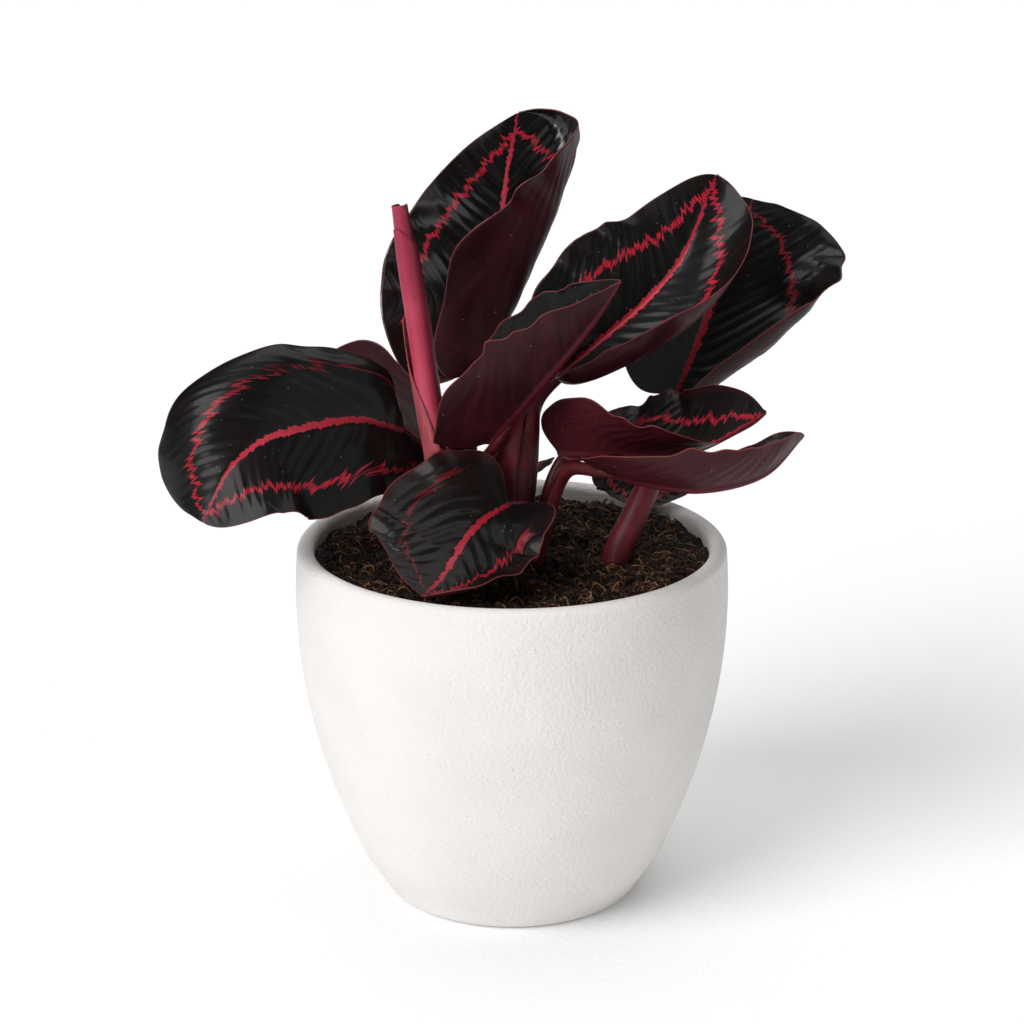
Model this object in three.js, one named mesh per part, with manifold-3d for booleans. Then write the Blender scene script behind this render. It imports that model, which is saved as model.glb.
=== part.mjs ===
// A potted calathea: a white stoneware pot, coir potting mix, eleven leaves and a new leaf, still rolled up.
// Millimetres, +Z up, origin at the centre of the pot's foot. The front is at -Y, with +X to its right.
//
// Every leaf is a blade on a stem. A blade is a thin sheet grown from its midrib: at each station along the
// midrib the two halves leave it at an angle (the fold) and then turn towards the upper side (the turn), so
// one rule gives flat, arched, trough-shaped and rolled leaves. Each stem stands in a plain hole in the mix.
import * as THREE from 'three';
import { mergeVertices } from 'three/addons/utils/BufferGeometryUtils.js';
import Module from 'manifold-3d';

// ---------------------------------------------------------------- driving dimensions, in millimetres
const CLEARANCE = 0.35; // the gap between two pieces that touch

const POT = {
  height: 127,
  widestRadius: 75,
  widestHeight: 108,
  bow: 0.0025, // the wall leaves the widest radius by bow x (height difference) squared
  lipRadius: 3, // the rim is a half round of this radius
  wall: 6.2,
  floor: 9,
  footRadius: 40,
  footRound: 5.5,
  sectors: 48,
};

const WALL_HEIGHTS = [14, 30, 48, 68, 88, 108]; // where the pot's wall has a ring of points

const SOIL = {
  height: 121.5, // level of the mix, 5.5 mm under the rim
  lump: 1.1,
  rings: 7,
};

const BLADE = {
  thickness: 0.7,
  ribDepth: 1.3, // how far the midrib stands out of the underside
  stemEnd: 5, // half width of the blade where it leaves its stem
  tipEnd: 0.4,
  lobeReach: 0.1, // the share of the midrib over which the basal lobes' backward lean dies out
  rows: 15,
  columns: [0, 0.06, 0.25, 0.45, 0.65, 0.83, 1], // stations across one half, from the midrib to the margin
};

const STEM = {
  sides: 8,
  steps: 9,
  rootHeight: 98, // how far up from the pot's foot the stems' roots begin
  endRadius: 1.8,
  endBehind: 0.5, // the stem stops this far behind the blade
  endBelow: 2.2, // and this far under its upper side, against the midrib
};

// Each leaf has
//   midrib  points from the stem to the tip;
//   face    the way its upper side faces, at the base, the middle and the tip;
//   left and right, as seen from the upper side with the tip up, each with
//     width   from the midrib to the margin, and widest, the share of the midrib's length where that is;
//     sweep   how far the side veins run forward, as a slope, and back, how far those at the stem lean back;
//     bend    stations of [fold, turn, start, end]: degrees, and the shares of the width over which it turns;
//   wave    the size of the margin's waves, how many there are, and the share of a wave they start at;
//   stem    points of [x, y, z, radius], from the roots up.
const LEAVES = {
  tall: {
    midrib: [[-12, 14, 185], [-7, 20, 207], [-4, 24, 229], [-2, 28, 248], [2, 36, 269]],
    face: [[-0.2, -1, 0.1], [-0.1, -1, 0], [0, -1, 0.3]],
    left: {
      width: 39,
      widest: 0.35,
      sweep: -0.14,
      back: 0.8,
      bend: [[0, 20, 0, 1], [0, 15, 0, 1], [0, 10, 0, 1]],
    },
    right: {
      width: 43,
      widest: 0.47,
      sweep: 0.48,
      back: 0.6,
      bend: [[-20, 205, 0.03, 0.28], [-20, 135, 0.2, 0.6], [0, 90, 0.62, 1]],
    },
    wave: [1.4, 4, 0.2],
    stem: [[-14, 16, STEM.rootHeight, 2.6], [-14, 16, 130, 2.4], [-14, 16, 160, 2]],
  },
  rolled: {
    midrib: [[-7, -14, 167], [3, -23, 181], [15, -30, 197], [26, -34, 212], [35, -34, 226]],
    face: [[-0.7, 0, 0.7], [-0.7, 0.1, 0.7], [-0.8, 0, 0.6]],
    left: {
      width: 26,
      widest: 0.4,
      sweep: 0,
      back: 1,
      bend: [[40, 50, 0, 1], [35, 50, 0, 1], [30, 40, 0, 1]],
    },
    right: {
      width: 28.5,
      widest: 0.38,
      sweep: 0,
      back: 0.9,
      bend: [[45, 30, 0, 1], [45, 30, 0, 1], [40, 30, 0, 1]],
    },
    wave: [1.2, 4, 0.4],
    stem: [[-11, 1, STEM.rootHeight, 2.2], [-12, 1, 125, 2], [-13, -5, 150, 1.8]],
  },
  centre: {
    midrib: [[17, 2, 186], [30, 0, 198], [45, 2, 211], [58, 8, 226], [69, 18, 251]],
    face: [[-0.1, -1, 0.3], [0, -1, 0.2], [0, -1, 0]],
    left: {
      width: 31,
      widest: 0.43,
      sweep: 0,
      back: 0.5,
      bend: [[10, 0, 0, 1], [0, 0, 0, 1], [0, -20, 0, 1]],
    },
    right: {
      width: 34.5,
      widest: 0.47,
      sweep: 0,
      back: 0.1,
      bend: [[40, 120, 0.2, 1], [35, 120, 0.35, 1], [0, 30, 0, 1]],
    },
    wave: [1.3, 4, 0.1],
    stem: [
      [-1, -2, STEM.rootHeight, 5.5],
      [-1, -2, 122, 7],
      [0.5, -3, 148, 8.1],
      [4, -2, 167, 5.6],
      [9, 2, 176.5, 2.3],
    ],
  },
  right: {
    midrib: [[57, 14, 176], [64, 24, 190], [71, 34, 206], [78, 40, 222], [84, 42, 238]],
    face: [[0.1, -0.9, 0.4], [0.1, -0.9, 0.3], [0.1, -1, 0]],
    left: {
      width: 33,
      widest: 0.45,
      sweep: 0,
      back: 0.6,
      bend: [[10, 0, 0, 1], [5, 0, 0, 1], [0, -10, 0, 1]],
    },
    right: {
      width: 43.5,
      widest: 0.56,
      sweep: 0.14,
      back: 0.4,
      bend: [[30, 130, 0.2, 1], [10, 110, 0.5, 1], [0, -20, 0, 1]],
    },
    wave: [1.6, 4, 0.6],
    stem: [
      [31, -11, STEM.rootHeight, 4.6],
      [35, -8, 121, 4.8],
      [41, -5, 135, 4.6],
      [48, -1, 150, 4],
      [54, 7, 165, 2.8],
    ],
  },
  sideUpper: {
    midrib: [[17, -4, 159], [30, -12, 161], [46, -18, 163], [64, -20, 166], [85, -16, 177]],
    face: [[0, 0.1, 1], [0, 0, 1], [0, 0, 1]],
    left: {
      width: 28,
      widest: 0.58,
      sweep: 0,
      back: 0.6,
      bend: [[30, 0, 0, 1], [32, 0, 0, 1], [35, 0, 0, 1]],
    },
    right: {
      width: 26,
      widest: 0.4,
      sweep: 0,
      back: 0.8,
      bend: [[70, 30, 0, 1], [35, 15, 0, 1], [10, 0, 0, 1]],
    },
    wave: [1, 3, 0.3],
    stem: [[9, 4, STEM.rootHeight, 2.2], [9, 4, 122, 2.2], [12, -5, 145, 2]],
  },
  sideLower: {
    midrib: [[29, -28, 162], [42, -38, 160], [62, -44, 159], [82, -44, 164], [95, -40, 176]],
    face: [[0, 0, 1], [0, 0, 1], [-0.3, 0, 1]],
    left: {
      width: 17,
      widest: 0.45,
      sweep: 0,
      back: 0.5,
      bend: [[10, 0, 0, 1], [10, 0, 0, 1], [40, 30, 0, 1]],
    },
    right: {
      width: 20,
      widest: 0.55,
      sweep: 0,
      back: 0.5,
      bend: [[10, 30, 0, 1], [35, 40, 0, 1], [30, 20, 0, 1]],
    },
    wave: [0.8, 3, 0.8],
    stem: [
      [9, -12, STEM.rootHeight, 2.4],
      [9, -12, 122, 2.2],
      [14, -13, 145, 2],
      [19, -18, 157, 2],
    ],
  },
  lowRight: {
    midrib: [[45, 48, 145], [46, 46, 138], [47, 42, 132], [47, 36, 127]],
    face: [[0, -0.8, 0.5], [0, -0.8, 0.5], [0, -0.8, 0.5]],
    left: { width: 22, widest: 0.45, sweep: 0, back: 0.5, bend: [[10, 10, 0, 1], [5, 10, 0, 1]] },
    right: { width: 18, widest: 0.45, sweep: 0, back: 0.5, bend: [[10, 10, 0, 1], [5, 10, 0, 1]] },
    wave: [0.6, 2, 0.3],
    stem: [
      [10, 15, STEM.rootHeight, 2],
      [11, 15, 125, 1.9],
      [17, 22, 146, 1.8],
      [31, 46, 152, 1.7],
      [41, 55, 151, 1.7],
    ],
  },
  front: {
    midrib: [
      [-1, -28, 148.5], [-7, -31, 146], [-14, -37, 141.5],
      [-19, -46, 136], [-23.5, -54, 131], [-29, -61, 128],
    ],
    face: [[-0.1, -0.8, 0.6], [-0.1, -0.8, 0.6], [-0.1, -0.5, 0.8]],
    left: {
      width: 26,
      widest: 0.38,
      sweep: 0,
      back: 1.3,
      bend: [[30, 0, 0, 1], [5, 15, 0, 1], [10, 70, 0.3, 1]],
    },
    right: {
      width: 31,
      widest: 0.56,
      sweep: -0.2,
      back: 0,
      bend: [[4, 0, 0, 1], [0, 0, 0, 1], [0, 0, 0, 1]],
    },
    wave: [0.8, 3, 0.5],
    stem: [
      [4, -13, STEM.rootHeight, 2.2],
      [4, -13, 122, 2],
      [6, -16, 137, 1.8],
      [5, -23, 146, 1.8],
    ],
  },
  left: {
    midrib: [
      [-37, -6, 168], [-51, -14, 174], [-67, -22, 174],
      [-83, -30, 171], [-94, -36, 162], [-102, -40, 146],
    ],
    face: [[0, -0.9, 0.5], [0, -0.9, 0.5], [-0.4, -0.8, 0.5]],
    left: {
      width: 31,
      widest: 0.48,
      sweep: 0,
      back: 1.5,
      bend: [[10, -20, 0, 1], [0, -10, 0, 1], [0, 0, 0, 1]],
    },
    right: {
      width: 33,
      widest: 0.62,
      sweep: 0,
      back: -0.3,
      bend: [[20, -60, 0.4, 1], [20, -70, 0.5, 1], [0, -20, 0, 1]],
    },
    wave: [0.5, 3, 0.1],
    stem: [[-20, 9, STEM.rootHeight, 2.4], [-21, 9, 125, 2.2], [-25, 7, 150, 2]],
  },
  backLeft: {
    midrib: [[-29, 24, 156], [-40, 31, 160], [-53, 38, 164], [-66, 43, 162], [-74, 46, 156]],
    face: [[0, 0, 1], [0, 0, 1], [0, 0, 1]],
    left: {
      width: 27,
      widest: 0.4,
      sweep: 0,
      back: 0.8,
      bend: [[60, 30, 0, 1], [60, 30, 0, 1], [50, 10, 0, 1]],
    },
    right: { width: 22, widest: 0.45, sweep: 0, back: 0.8, bend: [[10, 10, 0, 1], [5, 10, 0, 1]] },
    wave: [1, 3, 0.4],
    stem: [[-16, 22, STEM.rootHeight, 2.4], [-17, 22, 125, 2.2], [-22, 20, 148, 2]],
  },
  lowBack: {
    midrib: [[1, 26, 142], [1, 36, 142], [2, 47, 139], [3, 56, 134]],
    face: [[0, 0, 1], [0, 0.2, 1], [0, 0.4, 1]],
    left: { width: 14, widest: 0.45, sweep: 0, back: 0.5, bend: [[10, 10, 0, 1], [5, 10, 0, 1]] },
    right: { width: 14, widest: 0.45, sweep: 0, back: 0.5, bend: [[10, 10, 0, 1], [5, 10, 0, 1]] },
    wave: [0.6, 2, 0.3],
    stem: [[3, 22, STEM.rootHeight, 2], [3, 22, 125, 1.9], [2, 21, 135, 1.7]],
  },
};

// The new leaf is still rolled into a spear: a sheet wound round its own axis. Points are [x, y, z, radius].
const ROLL = {
  axis: [
    [-25, -11, 166, 4.6],
    [-28, -11, 182, 4.6],
    [-31, -10, 205, 4.55],
    [-34, -9, 225, 4.4],
    [-37, -8, 246, 3.6],
  ],
  turns: 1.7,
  pitch: 1.35, // distance from one layer of the roll to the next
  thickness: 0.7,
  columns: 22,
  rows: 8,
  stem: [
    [-18, -6, STEM.rootHeight, 5],
    [-19.5, -6, 122, 6],
    [-23, -8.2, 149, 5.7],
    [-25.2, -10.7, 165, 4.2],
  ],
};

const COLOURS = {
  pot: { color: 0xefedea, roughness: 0.55 },
  soil: { color: 0x2a1a10, roughness: 1 },
  blade: { color: 0x171a18, roughness: 0.35 },
  stem: { color: 0x5e1a26, roughness: 0.4 },
  roll: { color: 0xb03a5b, roughness: 0.4 },
  rollStem: { color: 0x9a2f44, roughness: 0.4 },
};

// ---------------------------------------------------------------- curves and small sums
const toVector = (p) => new THREE.Vector3(p[0], p[1], p[2]);

// A smooth curve through evenly numbered stations (Catmull-Rom), for points and for any list of numbers.
function along(stations, t) {
  const last = stations.length - 1;
  const i = Math.min(Math.floor(t * last), last - 1);
  const f = t * last - i;
  return stations[i].map((a, k) => {
    const b = stations[i + 1][k];
    const before = i > 0 ? stations[i - 1][k] : 2 * a - b;
    const after = i < last - 1 ? stations[i + 2][k] : 2 * b - a;
    const square = 2 * before - 5 * a + 4 * b - after;
    const cube = 3 * a - before - 3 * b + after;
    return a + 0.5 * ((b - before) * f + square * f * f + cube * f * f * f);
  });
}

function tangentAlong(stations, t) {
  const step = 1e-3;
  const ahead = toVector(along(stations, Math.min(1, t + step)));
  return ahead.sub(toVector(along(stations, Math.max(0, t - step)))).normalize();
}

// Stations from 0 to 1 that crowd towards both ends, where a leaf's outline turns fastest.
const crowdedStations = (count) =>
  Array.from({ length: count }, (_, k) => (1 - Math.cos((Math.PI * k) / (count - 1))) / 2);

// ---------------------------------------------------------------- sheets and tubes
// A closed solid sheet: rows of points on the upper side, and the same rows moved in by the thickness.
// Both sides are split into triangles along the same diagonals.
function sheetGeometry(upper, thicknessAt) {
  const rows = upper.length;
  const columns = upper[0].length;
  const lower = upper.map((row, r) =>
    row.map((point, c) => {
      const acrossStep = upper[r][Math.min(c + 1, columns - 1)].clone().sub(upper[r][Math.max(c - 1, 0)]);
      const alongStep = upper[Math.min(r + 1, rows - 1)][c].clone().sub(upper[Math.max(r - 1, 0)][c]);
      const normal = acrossStep.cross(alongStep).normalize();
      return point.clone().addScaledVector(normal, -thicknessAt(r, c));
    }),
  );
  const positions = [...upper.flat(), ...lower.flat()].flatMap((p) => p.toArray());
  const index = [];
  const top = (r, c) => r * columns + c;
  const under = (r, c) => rows * columns + top(r, c);
  const quad = (a, b, c, d) => index.push(a, b, c, a, c, d);
  for (let r = 0; r < rows - 1; r++)
    for (let c = 0; c < columns - 1; c++) quad(top(r, c), top(r, c + 1), top(r + 1, c + 1), top(r + 1, c));
  for (let r = 0; r < rows - 1; r++)
    for (let c = 0; c < columns - 1; c++) {
      index.push(under(r, c), under(r + 1, c + 1), under(r, c + 1));
      index.push(under(r, c), under(r + 1, c), under(r + 1, c + 1));
    }
  for (let r = 0; r < rows - 1; r++) {
    quad(top(r, 0), top(r + 1, 0), under(r + 1, 0), under(r, 0));
    quad(top(r + 1, columns - 1), top(r, columns - 1), under(r, columns - 1), under(r + 1, columns - 1));
  }
  for (let c = 0; c < columns - 1; c++) {
    quad(top(0, c + 1), top(0, c), under(0, c), under(0, c + 1));
    quad(top(rows - 1, c), top(rows - 1, c + 1), under(rows - 1, c + 1), under(rows - 1, c));
  }
  return new THREE.BufferGeometry()
    .setAttribute('position', new THREE.Float32BufferAttribute(positions, 3))
    .setIndex(index);
}

// A round tube of changing radius along [x, y, z, radius] stations, closed at both ends.
function tubeGeometry(stations, { grow = 0, past = 0, steps = STEM.steps } = {}) {
  const { sides } = STEM;
  const rings = [];
  let side = new THREE.Vector3(0, 1, 0);
  for (let k = 0; k <= steps; k++) {
    const t = k / steps;
    const centre = toVector(along(stations, t));
    const tangent = tangentAlong(stations, t);
    if (k === 0) centre.addScaledVector(tangent, -past);
    if (k === steps) centre.addScaledVector(tangent, past);
    side = side.clone().addScaledVector(tangent, -side.dot(tangent)).normalize();
    const other = tangent.clone().cross(side);
    const radius = along(stations, t)[3] + grow;
    rings.push(
      Array.from({ length: sides }, (_, j) => {
        const angle = (2 * Math.PI * j) / sides;
        return centre
          .clone()
          .addScaledVector(side, radius * Math.cos(angle))
          .addScaledVector(other, radius * Math.sin(angle));
      }),
    );
  }
  const centres = [rings[0], rings[steps]].map((ring) =>
    ring.reduce((sum, p) => sum.add(p), new THREE.Vector3()).divideScalar(sides),
  );
  const positions = [...rings.flat(), ...centres].flatMap((p) => p.toArray());
  const index = [];
  for (let k = 0; k < steps; k++)
    for (let j = 0; j < sides; j++) {
      const next = (j + 1) % sides;
      const [a, b, c, d] = [k * sides + j, k * sides + next, (k + 1) * sides + next, (k + 1) * sides + j];
      index.push(a, b, c, a, c, d);
    }
  const rootCentre = rings.length * sides;
  for (let j = 0; j < sides; j++) {
    const next = (j + 1) % sides;
    index.push(rootCentre, next, j);
    index.push(rootCentre + 1, steps * sides + j, steps * sides + next);
  }
  return new THREE.BufferGeometry()
    .setAttribute('position', new THREE.Float32BufferAttribute(positions, 3))
    .setIndex(index);
}

// ---------------------------------------------------------------- leaf blades
// The outline of a calathea leaf: broad, round at the stem, drawn to a short point at the tip.
function outline(t, widest) {
  const base = 0.5;
  const tip = (base * (1 - widest)) / widest;
  const peak = widest ** base * (1 - widest) ** tip;
  return (t ** base * (1 - t) ** tip) / peak;
}

function halfWidth(half, t) {
  const edge = BLADE.stemEnd + (BLADE.tipEnd - BLADE.stemEnd) * t;
  return edge + (half.width - edge) * outline(t, half.widest);
}

// Where a half's section reaches at share s of its width: how far out, and how far towards the upper side.
function sectionPoint(half, t, s) {
  const [fold, turn, start, end] = along(half.bend, t);
  const steps = 24;
  const stride = (halfWidth(half, t) * s) / steps;
  let [out, up] = [0, 0];
  for (let k = 0; k < steps; k++) {
    const share = ((k + 0.5) / steps) * s;
    const turned = THREE.MathUtils.clamp((share - start) / (end - start), 0, 1);
    const angle = THREE.MathUtils.degToRad(fold + turn * turned);
    out += Math.cos(angle) * stride;
    up += Math.sin(angle) * stride;
  }
  return [out, up];
}

// How far a point lies ahead of its station: the side veins sweep forward, but those of the lobes lean back.
function aheadOfStation(half, t, share) {
  const nearStem = Math.exp(-t / BLADE.lobeReach);
  const lean = half.sweep * (1 - nearStem) - half.back * nearStem;
  return lean * halfWidth(half, t) * share;
}

// The way the blade's upper side faces at a station, square to the midrib.
function normalAlong(leaf, t) {
  const tangent = tangentAlong(leaf.midrib, t);
  const face = toVector(along(leaf.face, t));
  return face.addScaledVector(tangent, -face.dot(tangent)).normalize();
}

// A point of the blade's upper side: t runs from stem to tip, s from the left margin (-1) to the right (1).
function bladePoint(leaf, t, s) {
  const tangent = tangentAlong(leaf.midrib, t);
  const normal = normalAlong(leaf, t);
  const outward = tangent.clone().cross(normal).multiplyScalar(s < 0 ? -1 : 1);
  const half = s < 0 ? leaf.left : leaf.right;
  const share = Math.abs(s);
  const [out, up] = sectionPoint(half, t, share);
  const [size, count, phase] = leaf.wave;
  const waveAngle = 2 * Math.PI * (count * t + phase + (s < 0 ? 0.37 : 0));
  const wave = size * share ** 2 * Math.sin(waveAngle) * Math.sin(Math.PI * t);
  return toVector(along(leaf.midrib, t))
    .addScaledVector(outward, out)
    .addScaledVector(normal, up + wave)
    .addScaledVector(tangent, aheadOfStation(half, t, share));
}

function bladeGeometry(leaf) {
  const halfColumns = BLADE.columns.slice(1);
  const acrossShares = [...halfColumns.map((s) => -s).reverse(), 0, ...halfColumns];
  const stations = crowdedStations(BLADE.rows);
  const upper = stations.map((t) => acrossShares.map((s) => bladePoint(leaf, t, s)));
  const rib = (t) => BLADE.ribDepth * (1 - 0.8 * t);
  return sheetGeometry(upper, (r, c) => BLADE.thickness + (acrossShares[c] === 0 ? rib(stations[r]) : 0));
}

// The stem's stations, with the last one against the midrib where the blade begins.
function stemStations(leaf) {
  const end = toVector(leaf.midrib[0])
    .addScaledVector(tangentAlong(leaf.midrib, 0), -STEM.endBehind)
    .addScaledVector(normalAlong(leaf, 0), -STEM.endBelow);
  return [...leaf.stem, [...end, STEM.endRadius]];
}

// ---------------------------------------------------------------- the rolled leaf
// The sheet is wound inwards from its outer margin; the outer layer is the leaf's underside.
function rollGeometry() {
  const rows = Array.from({ length: ROLL.rows }, (_, r) => r / (ROLL.rows - 1));
  let side = new THREE.Vector3(-1, -0.6, 0);
  const outer = rows.map((t) => {
    const tangent = tangentAlong(ROLL.axis, t);
    side = side.clone().addScaledVector(tangent, -side.dot(tangent)).normalize();
    const other = tangent.clone().cross(side);
    const [x, y, z, radius] = along(ROLL.axis, t);
    return Array.from({ length: ROLL.columns }, (_, c) => {
      const turned = (ROLL.turns * c) / (ROLL.columns - 1);
      const reach = radius - Math.min(ROLL.pitch, radius / (ROLL.turns + 0.45)) * turned;
      return new THREE.Vector3(x, y, z)
        .addScaledVector(side, reach * Math.cos(2 * Math.PI * turned))
        .addScaledVector(other, reach * Math.sin(2 * Math.PI * turned));
    });
  });
  return sheetGeometry(outer, () => ROLL.thickness);
}

// ---------------------------------------------------------------- pot and potting mix
const potWallRadius = (z) => POT.widestRadius - POT.bow * (POT.widestHeight - z) ** 2;

function arcPoints(centreR, centreZ, radius, from, to, steps) {
  return Array.from({ length: steps + 1 }, (_, k) => {
    const angle = THREE.MathUtils.degToRad(from + ((to - from) * k) / steps);
    return new THREE.Vector2(centreR + radius * Math.cos(angle), centreZ + radius * Math.sin(angle));
  });
}

// The inside of the pot, from the axis up its wall, moved in by a gap.
function insideProfile(gap) {
  const floorRadius = potWallRadius(POT.floor) - POT.wall;
  return [
    new THREE.Vector2(0, POT.floor + gap),
    new THREE.Vector2(floorRadius - 8 - gap, POT.floor + gap),
    new THREE.Vector2(floorRadius - 1 - gap, POT.floor + 6),
    ...WALL_HEIGHTS.slice(1).map((z) => new THREE.Vector2(potWallRadius(z) - POT.wall - gap, z)),
  ];
}

function potGeometry() {
  const lipHeight = POT.height - POT.lipRadius;
  const lipCentre = potWallRadius(lipHeight) - POT.lipRadius;
  const profile = [
    new THREE.Vector2(0, 0),
    new THREE.Vector2(POT.footRadius, 0),
    ...arcPoints(POT.footRadius + 1, POT.footRound, POT.footRound, -75, -18, 3),
    ...WALL_HEIGHTS.map((z) => new THREE.Vector2(potWallRadius(z), z)),
    ...arcPoints(lipCentre, lipHeight, POT.lipRadius, 0, 180, 6),
    ...insideProfile(0).reverse(),
  ];
  return new THREE.LatheGeometry(profile, POT.sectors).rotateX(Math.PI / 2);
}

// Height of the potting mix, in soft lumps that die out at the wall.
function soilHeight(x, y) {
  const lumps = Math.sin(x / 7.1) * Math.cos(y / 6.3 + 1) + 0.6 * Math.sin((x + 2 * y) / 9.7 + 2);
  return SOIL.height + SOIL.lump * lumps;
}

function soilGeometry() {
  const gap = 2 * CLEARANCE;
  const wall = insideProfile(gap).filter((point) => point.y < SOIL.height - 4);
  const edge = potWallRadius(SOIL.height) - POT.wall - gap;
  const surface = Array.from({ length: SOIL.rings + 1 }, (_, k) => (edge * (SOIL.rings - k)) / SOIL.rings);
  const profile = [...wall, ...surface.map((r) => new THREE.Vector2(r, SOIL.height))];
  const geometry = new THREE.LatheGeometry(profile, POT.sectors).rotateX(Math.PI / 2);
  const place = geometry.getAttribute('position');
  for (let i = 0; i < place.count; i++)
    if (place.getZ(i) > SOIL.height - 0.01) place.setZ(i, soilHeight(place.getX(i), place.getY(i)));
  return geometry;
}

// ---------------------------------------------------------------- cutting the stem holes
const wasm = await Module();
wasm.setup();

function toManifold(geometry) {
  const bare = geometry.clone();
  ['normal', 'uv'].forEach((name) => bare.deleteAttribute(name));
  const merged = mergeVertices(bare, 1e-3);
  return new wasm.Manifold(
    new wasm.Mesh({
      numProp: 3,
      vertProperties: new Float32Array(merged.getAttribute('position').array),
      triVerts: new Uint32Array(merged.index.array),
    }),
  );
}

function fromManifold(solid) {
  const mesh = solid.getMesh();
  return new THREE.BufferGeometry()
    .setAttribute('position', new THREE.Float32BufferAttribute(mesh.vertProperties, 3))
    .setIndex(new THREE.BufferAttribute(mesh.triVerts, 1));
}

function drilledSoil(stems) {
  const holes = stems.map((stem) => toManifold(tubeGeometry(stem, { grow: CLEARANCE, past: CLEARANCE })));
  return fromManifold(holes.reduce((left, hole) => left.subtract(hole), toManifold(soilGeometry())));
}

// ---------------------------------------------------------------- the assembly
function addMesh(group, name, geometry, colour) {
  geometry.computeVertexNormals();
  const material = new THREE.MeshStandardMaterial({ ...COLOURS[colour], metalness: 0 });
  const mesh = new THREE.Mesh(geometry, material);
  mesh.name = name;
  group.add(mesh);
}

const plant = new THREE.Group();
const nodeName = (word) => word.replace(/[A-Z]/g, (letter) => '_' + letter.toLowerCase());

addMesh(plant, 'pot', potGeometry(), 'pot');
const stems = [...Object.values(LEAVES).map(stemStations), ROLL.stem];
addMesh(plant, 'potting_mix', drilledSoil(stems), 'soil');
for (const [word, leaf] of Object.entries(LEAVES)) {
  addMesh(plant, `leaf_${nodeName(word)}_stem`, tubeGeometry(stemStations(leaf)), 'stem');
  addMesh(plant, `leaf_${nodeName(word)}_blade`, bladeGeometry(leaf), 'blade');
}
addMesh(plant, 'new_leaf_stem', tubeGeometry(ROLL.stem), 'rollStem');
addMesh(plant, 'new_leaf_roll', rollGeometry(), 'roll');

export default plant;
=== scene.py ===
"""A potted calathea: near-black leaves with a feathered pink ring and midrib, burgundy underneath, crimson
stems, one new leaf rolled into a pink spear, coir potting mix and a white matt stoneware pot.

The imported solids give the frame. Every leaf, stem, the roll, the mix and the pot is modelled again here in
finer steps, by the same measures as its solid, and stands in that solid's place.
"""

import itertools
import math
import random

import bmesh
import bpy
from bpy.props import FloatProperty, FloatVectorProperty, IntProperty, PointerProperty
from mathutils import Matrix, Vector, noise


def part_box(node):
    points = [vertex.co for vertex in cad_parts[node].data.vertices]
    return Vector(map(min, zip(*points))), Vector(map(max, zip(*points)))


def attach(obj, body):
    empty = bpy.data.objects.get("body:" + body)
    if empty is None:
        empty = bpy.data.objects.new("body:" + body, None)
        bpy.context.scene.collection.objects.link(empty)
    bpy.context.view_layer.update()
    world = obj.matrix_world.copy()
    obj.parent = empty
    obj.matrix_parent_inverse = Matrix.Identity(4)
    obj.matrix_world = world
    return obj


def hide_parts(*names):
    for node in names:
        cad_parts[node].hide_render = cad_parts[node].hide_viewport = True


bl_info = {
    "name": "Potted calathea",
    "version": (1, 0, 0),
    "blender": (4, 5, 0),
    "location": "3D View > Sidebar > Calathea",
    "description": "Dresses the potted calathea's solids with leaves, stems, mix, pot and a studio stage",
    "category": "Object",
}

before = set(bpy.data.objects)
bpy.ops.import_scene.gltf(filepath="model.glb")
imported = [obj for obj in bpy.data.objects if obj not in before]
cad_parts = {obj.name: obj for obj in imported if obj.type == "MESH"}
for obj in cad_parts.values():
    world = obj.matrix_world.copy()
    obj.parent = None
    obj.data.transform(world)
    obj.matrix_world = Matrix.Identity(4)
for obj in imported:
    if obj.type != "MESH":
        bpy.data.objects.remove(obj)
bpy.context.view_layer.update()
MM = 0.001  # one millimetre in metres; the measures below are in millimetres and degrees
MIX_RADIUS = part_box("potting_mix")[1].x / MM

# ------------------------------------------------------------------ measures shared with the solids
BLADE = {
    "stem_end": 5,  # half width of the blade where it leaves its stem
    "tip_end": 0.4,
    "lobe_reach": 0.1,  # share of the midrib over which the basal lobes' backward lean dies out
    "rib_depth": 1.3,
    "rib_width": 1.1,
}
STEM_END = {"radius": 1.8, "behind": 0.5, "below": 2.2}
POT = {
    "widest_height": 108,
    "bow": 0.0025,  # the wall leaves the widest radius by bow x (height difference) squared
    "lip_radius": 3,
    "wall": 6.2,
    "floor": 9,
    "foot_radius": 40,
    "foot_round": 5.5,
}
MIX = {"height": 121.5, "lump": 1.1, "depth": 26}

# The last stretch of a stem, under its midrib: (share of the midrib, depth below the upper side, radius).
STEM_RUN_ON = ((0.06, 1.6, 1.3), (0.14, 1.3, 0.8))

# What a blade keeps on its vertices for its markings, in millimetres unless said:
#   vein    where the side vein through a point runs, along the middle of its half;
#   rib     the distance from the midrib, and streak, the same from the edge of the midrib's pink band;
#   ring    the distance from the pink ring's line, outwards;
#   margin  the distance from the margin;
#   rise    the share of the midrib;
#   shown   how strongly the ring shows, blush_and_painted_light, how red the half turns and, on the
#           underside, how far painted light lightens it, and deep, how dark the pink is.
BLADE_FACTS = ("vein", "rib", "streak", "ring", "margin", "rise", "shown", "blush_and_painted_light", "deep")


def blade_half(width, widest, bend, sweep=0, back=0.5, shows=(0.12, 0.4, 1), scallop=1, blush_and_painted_light=0.2):
    """One half of a blade. Its width goes from the midrib to the margin, and it is widest at a share of the
    midrib. The bend has stations of (fold, turn, start, end): degrees, and the shares of the width between
    which it turns. Sweep is the slope by which the side veins run forward, and back that by which the veins
    at the stem lean back. Shows is a share of the midrib, and how strongly the ring shows before and after
    it. Scallop is how far the margin swings in and out, against the usual. The blush is how red the half
    turns; on the underside it also lightens the half, painted light for undersides that face down."""
    return {
        "width": width,
        "widest": widest,
        "bend": bend,
        "sweep": sweep,
        "back": back,
        "shows": shows,
        "scallop": scallop,
        "blush_and_painted_light": blush_and_painted_light,
    }


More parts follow.
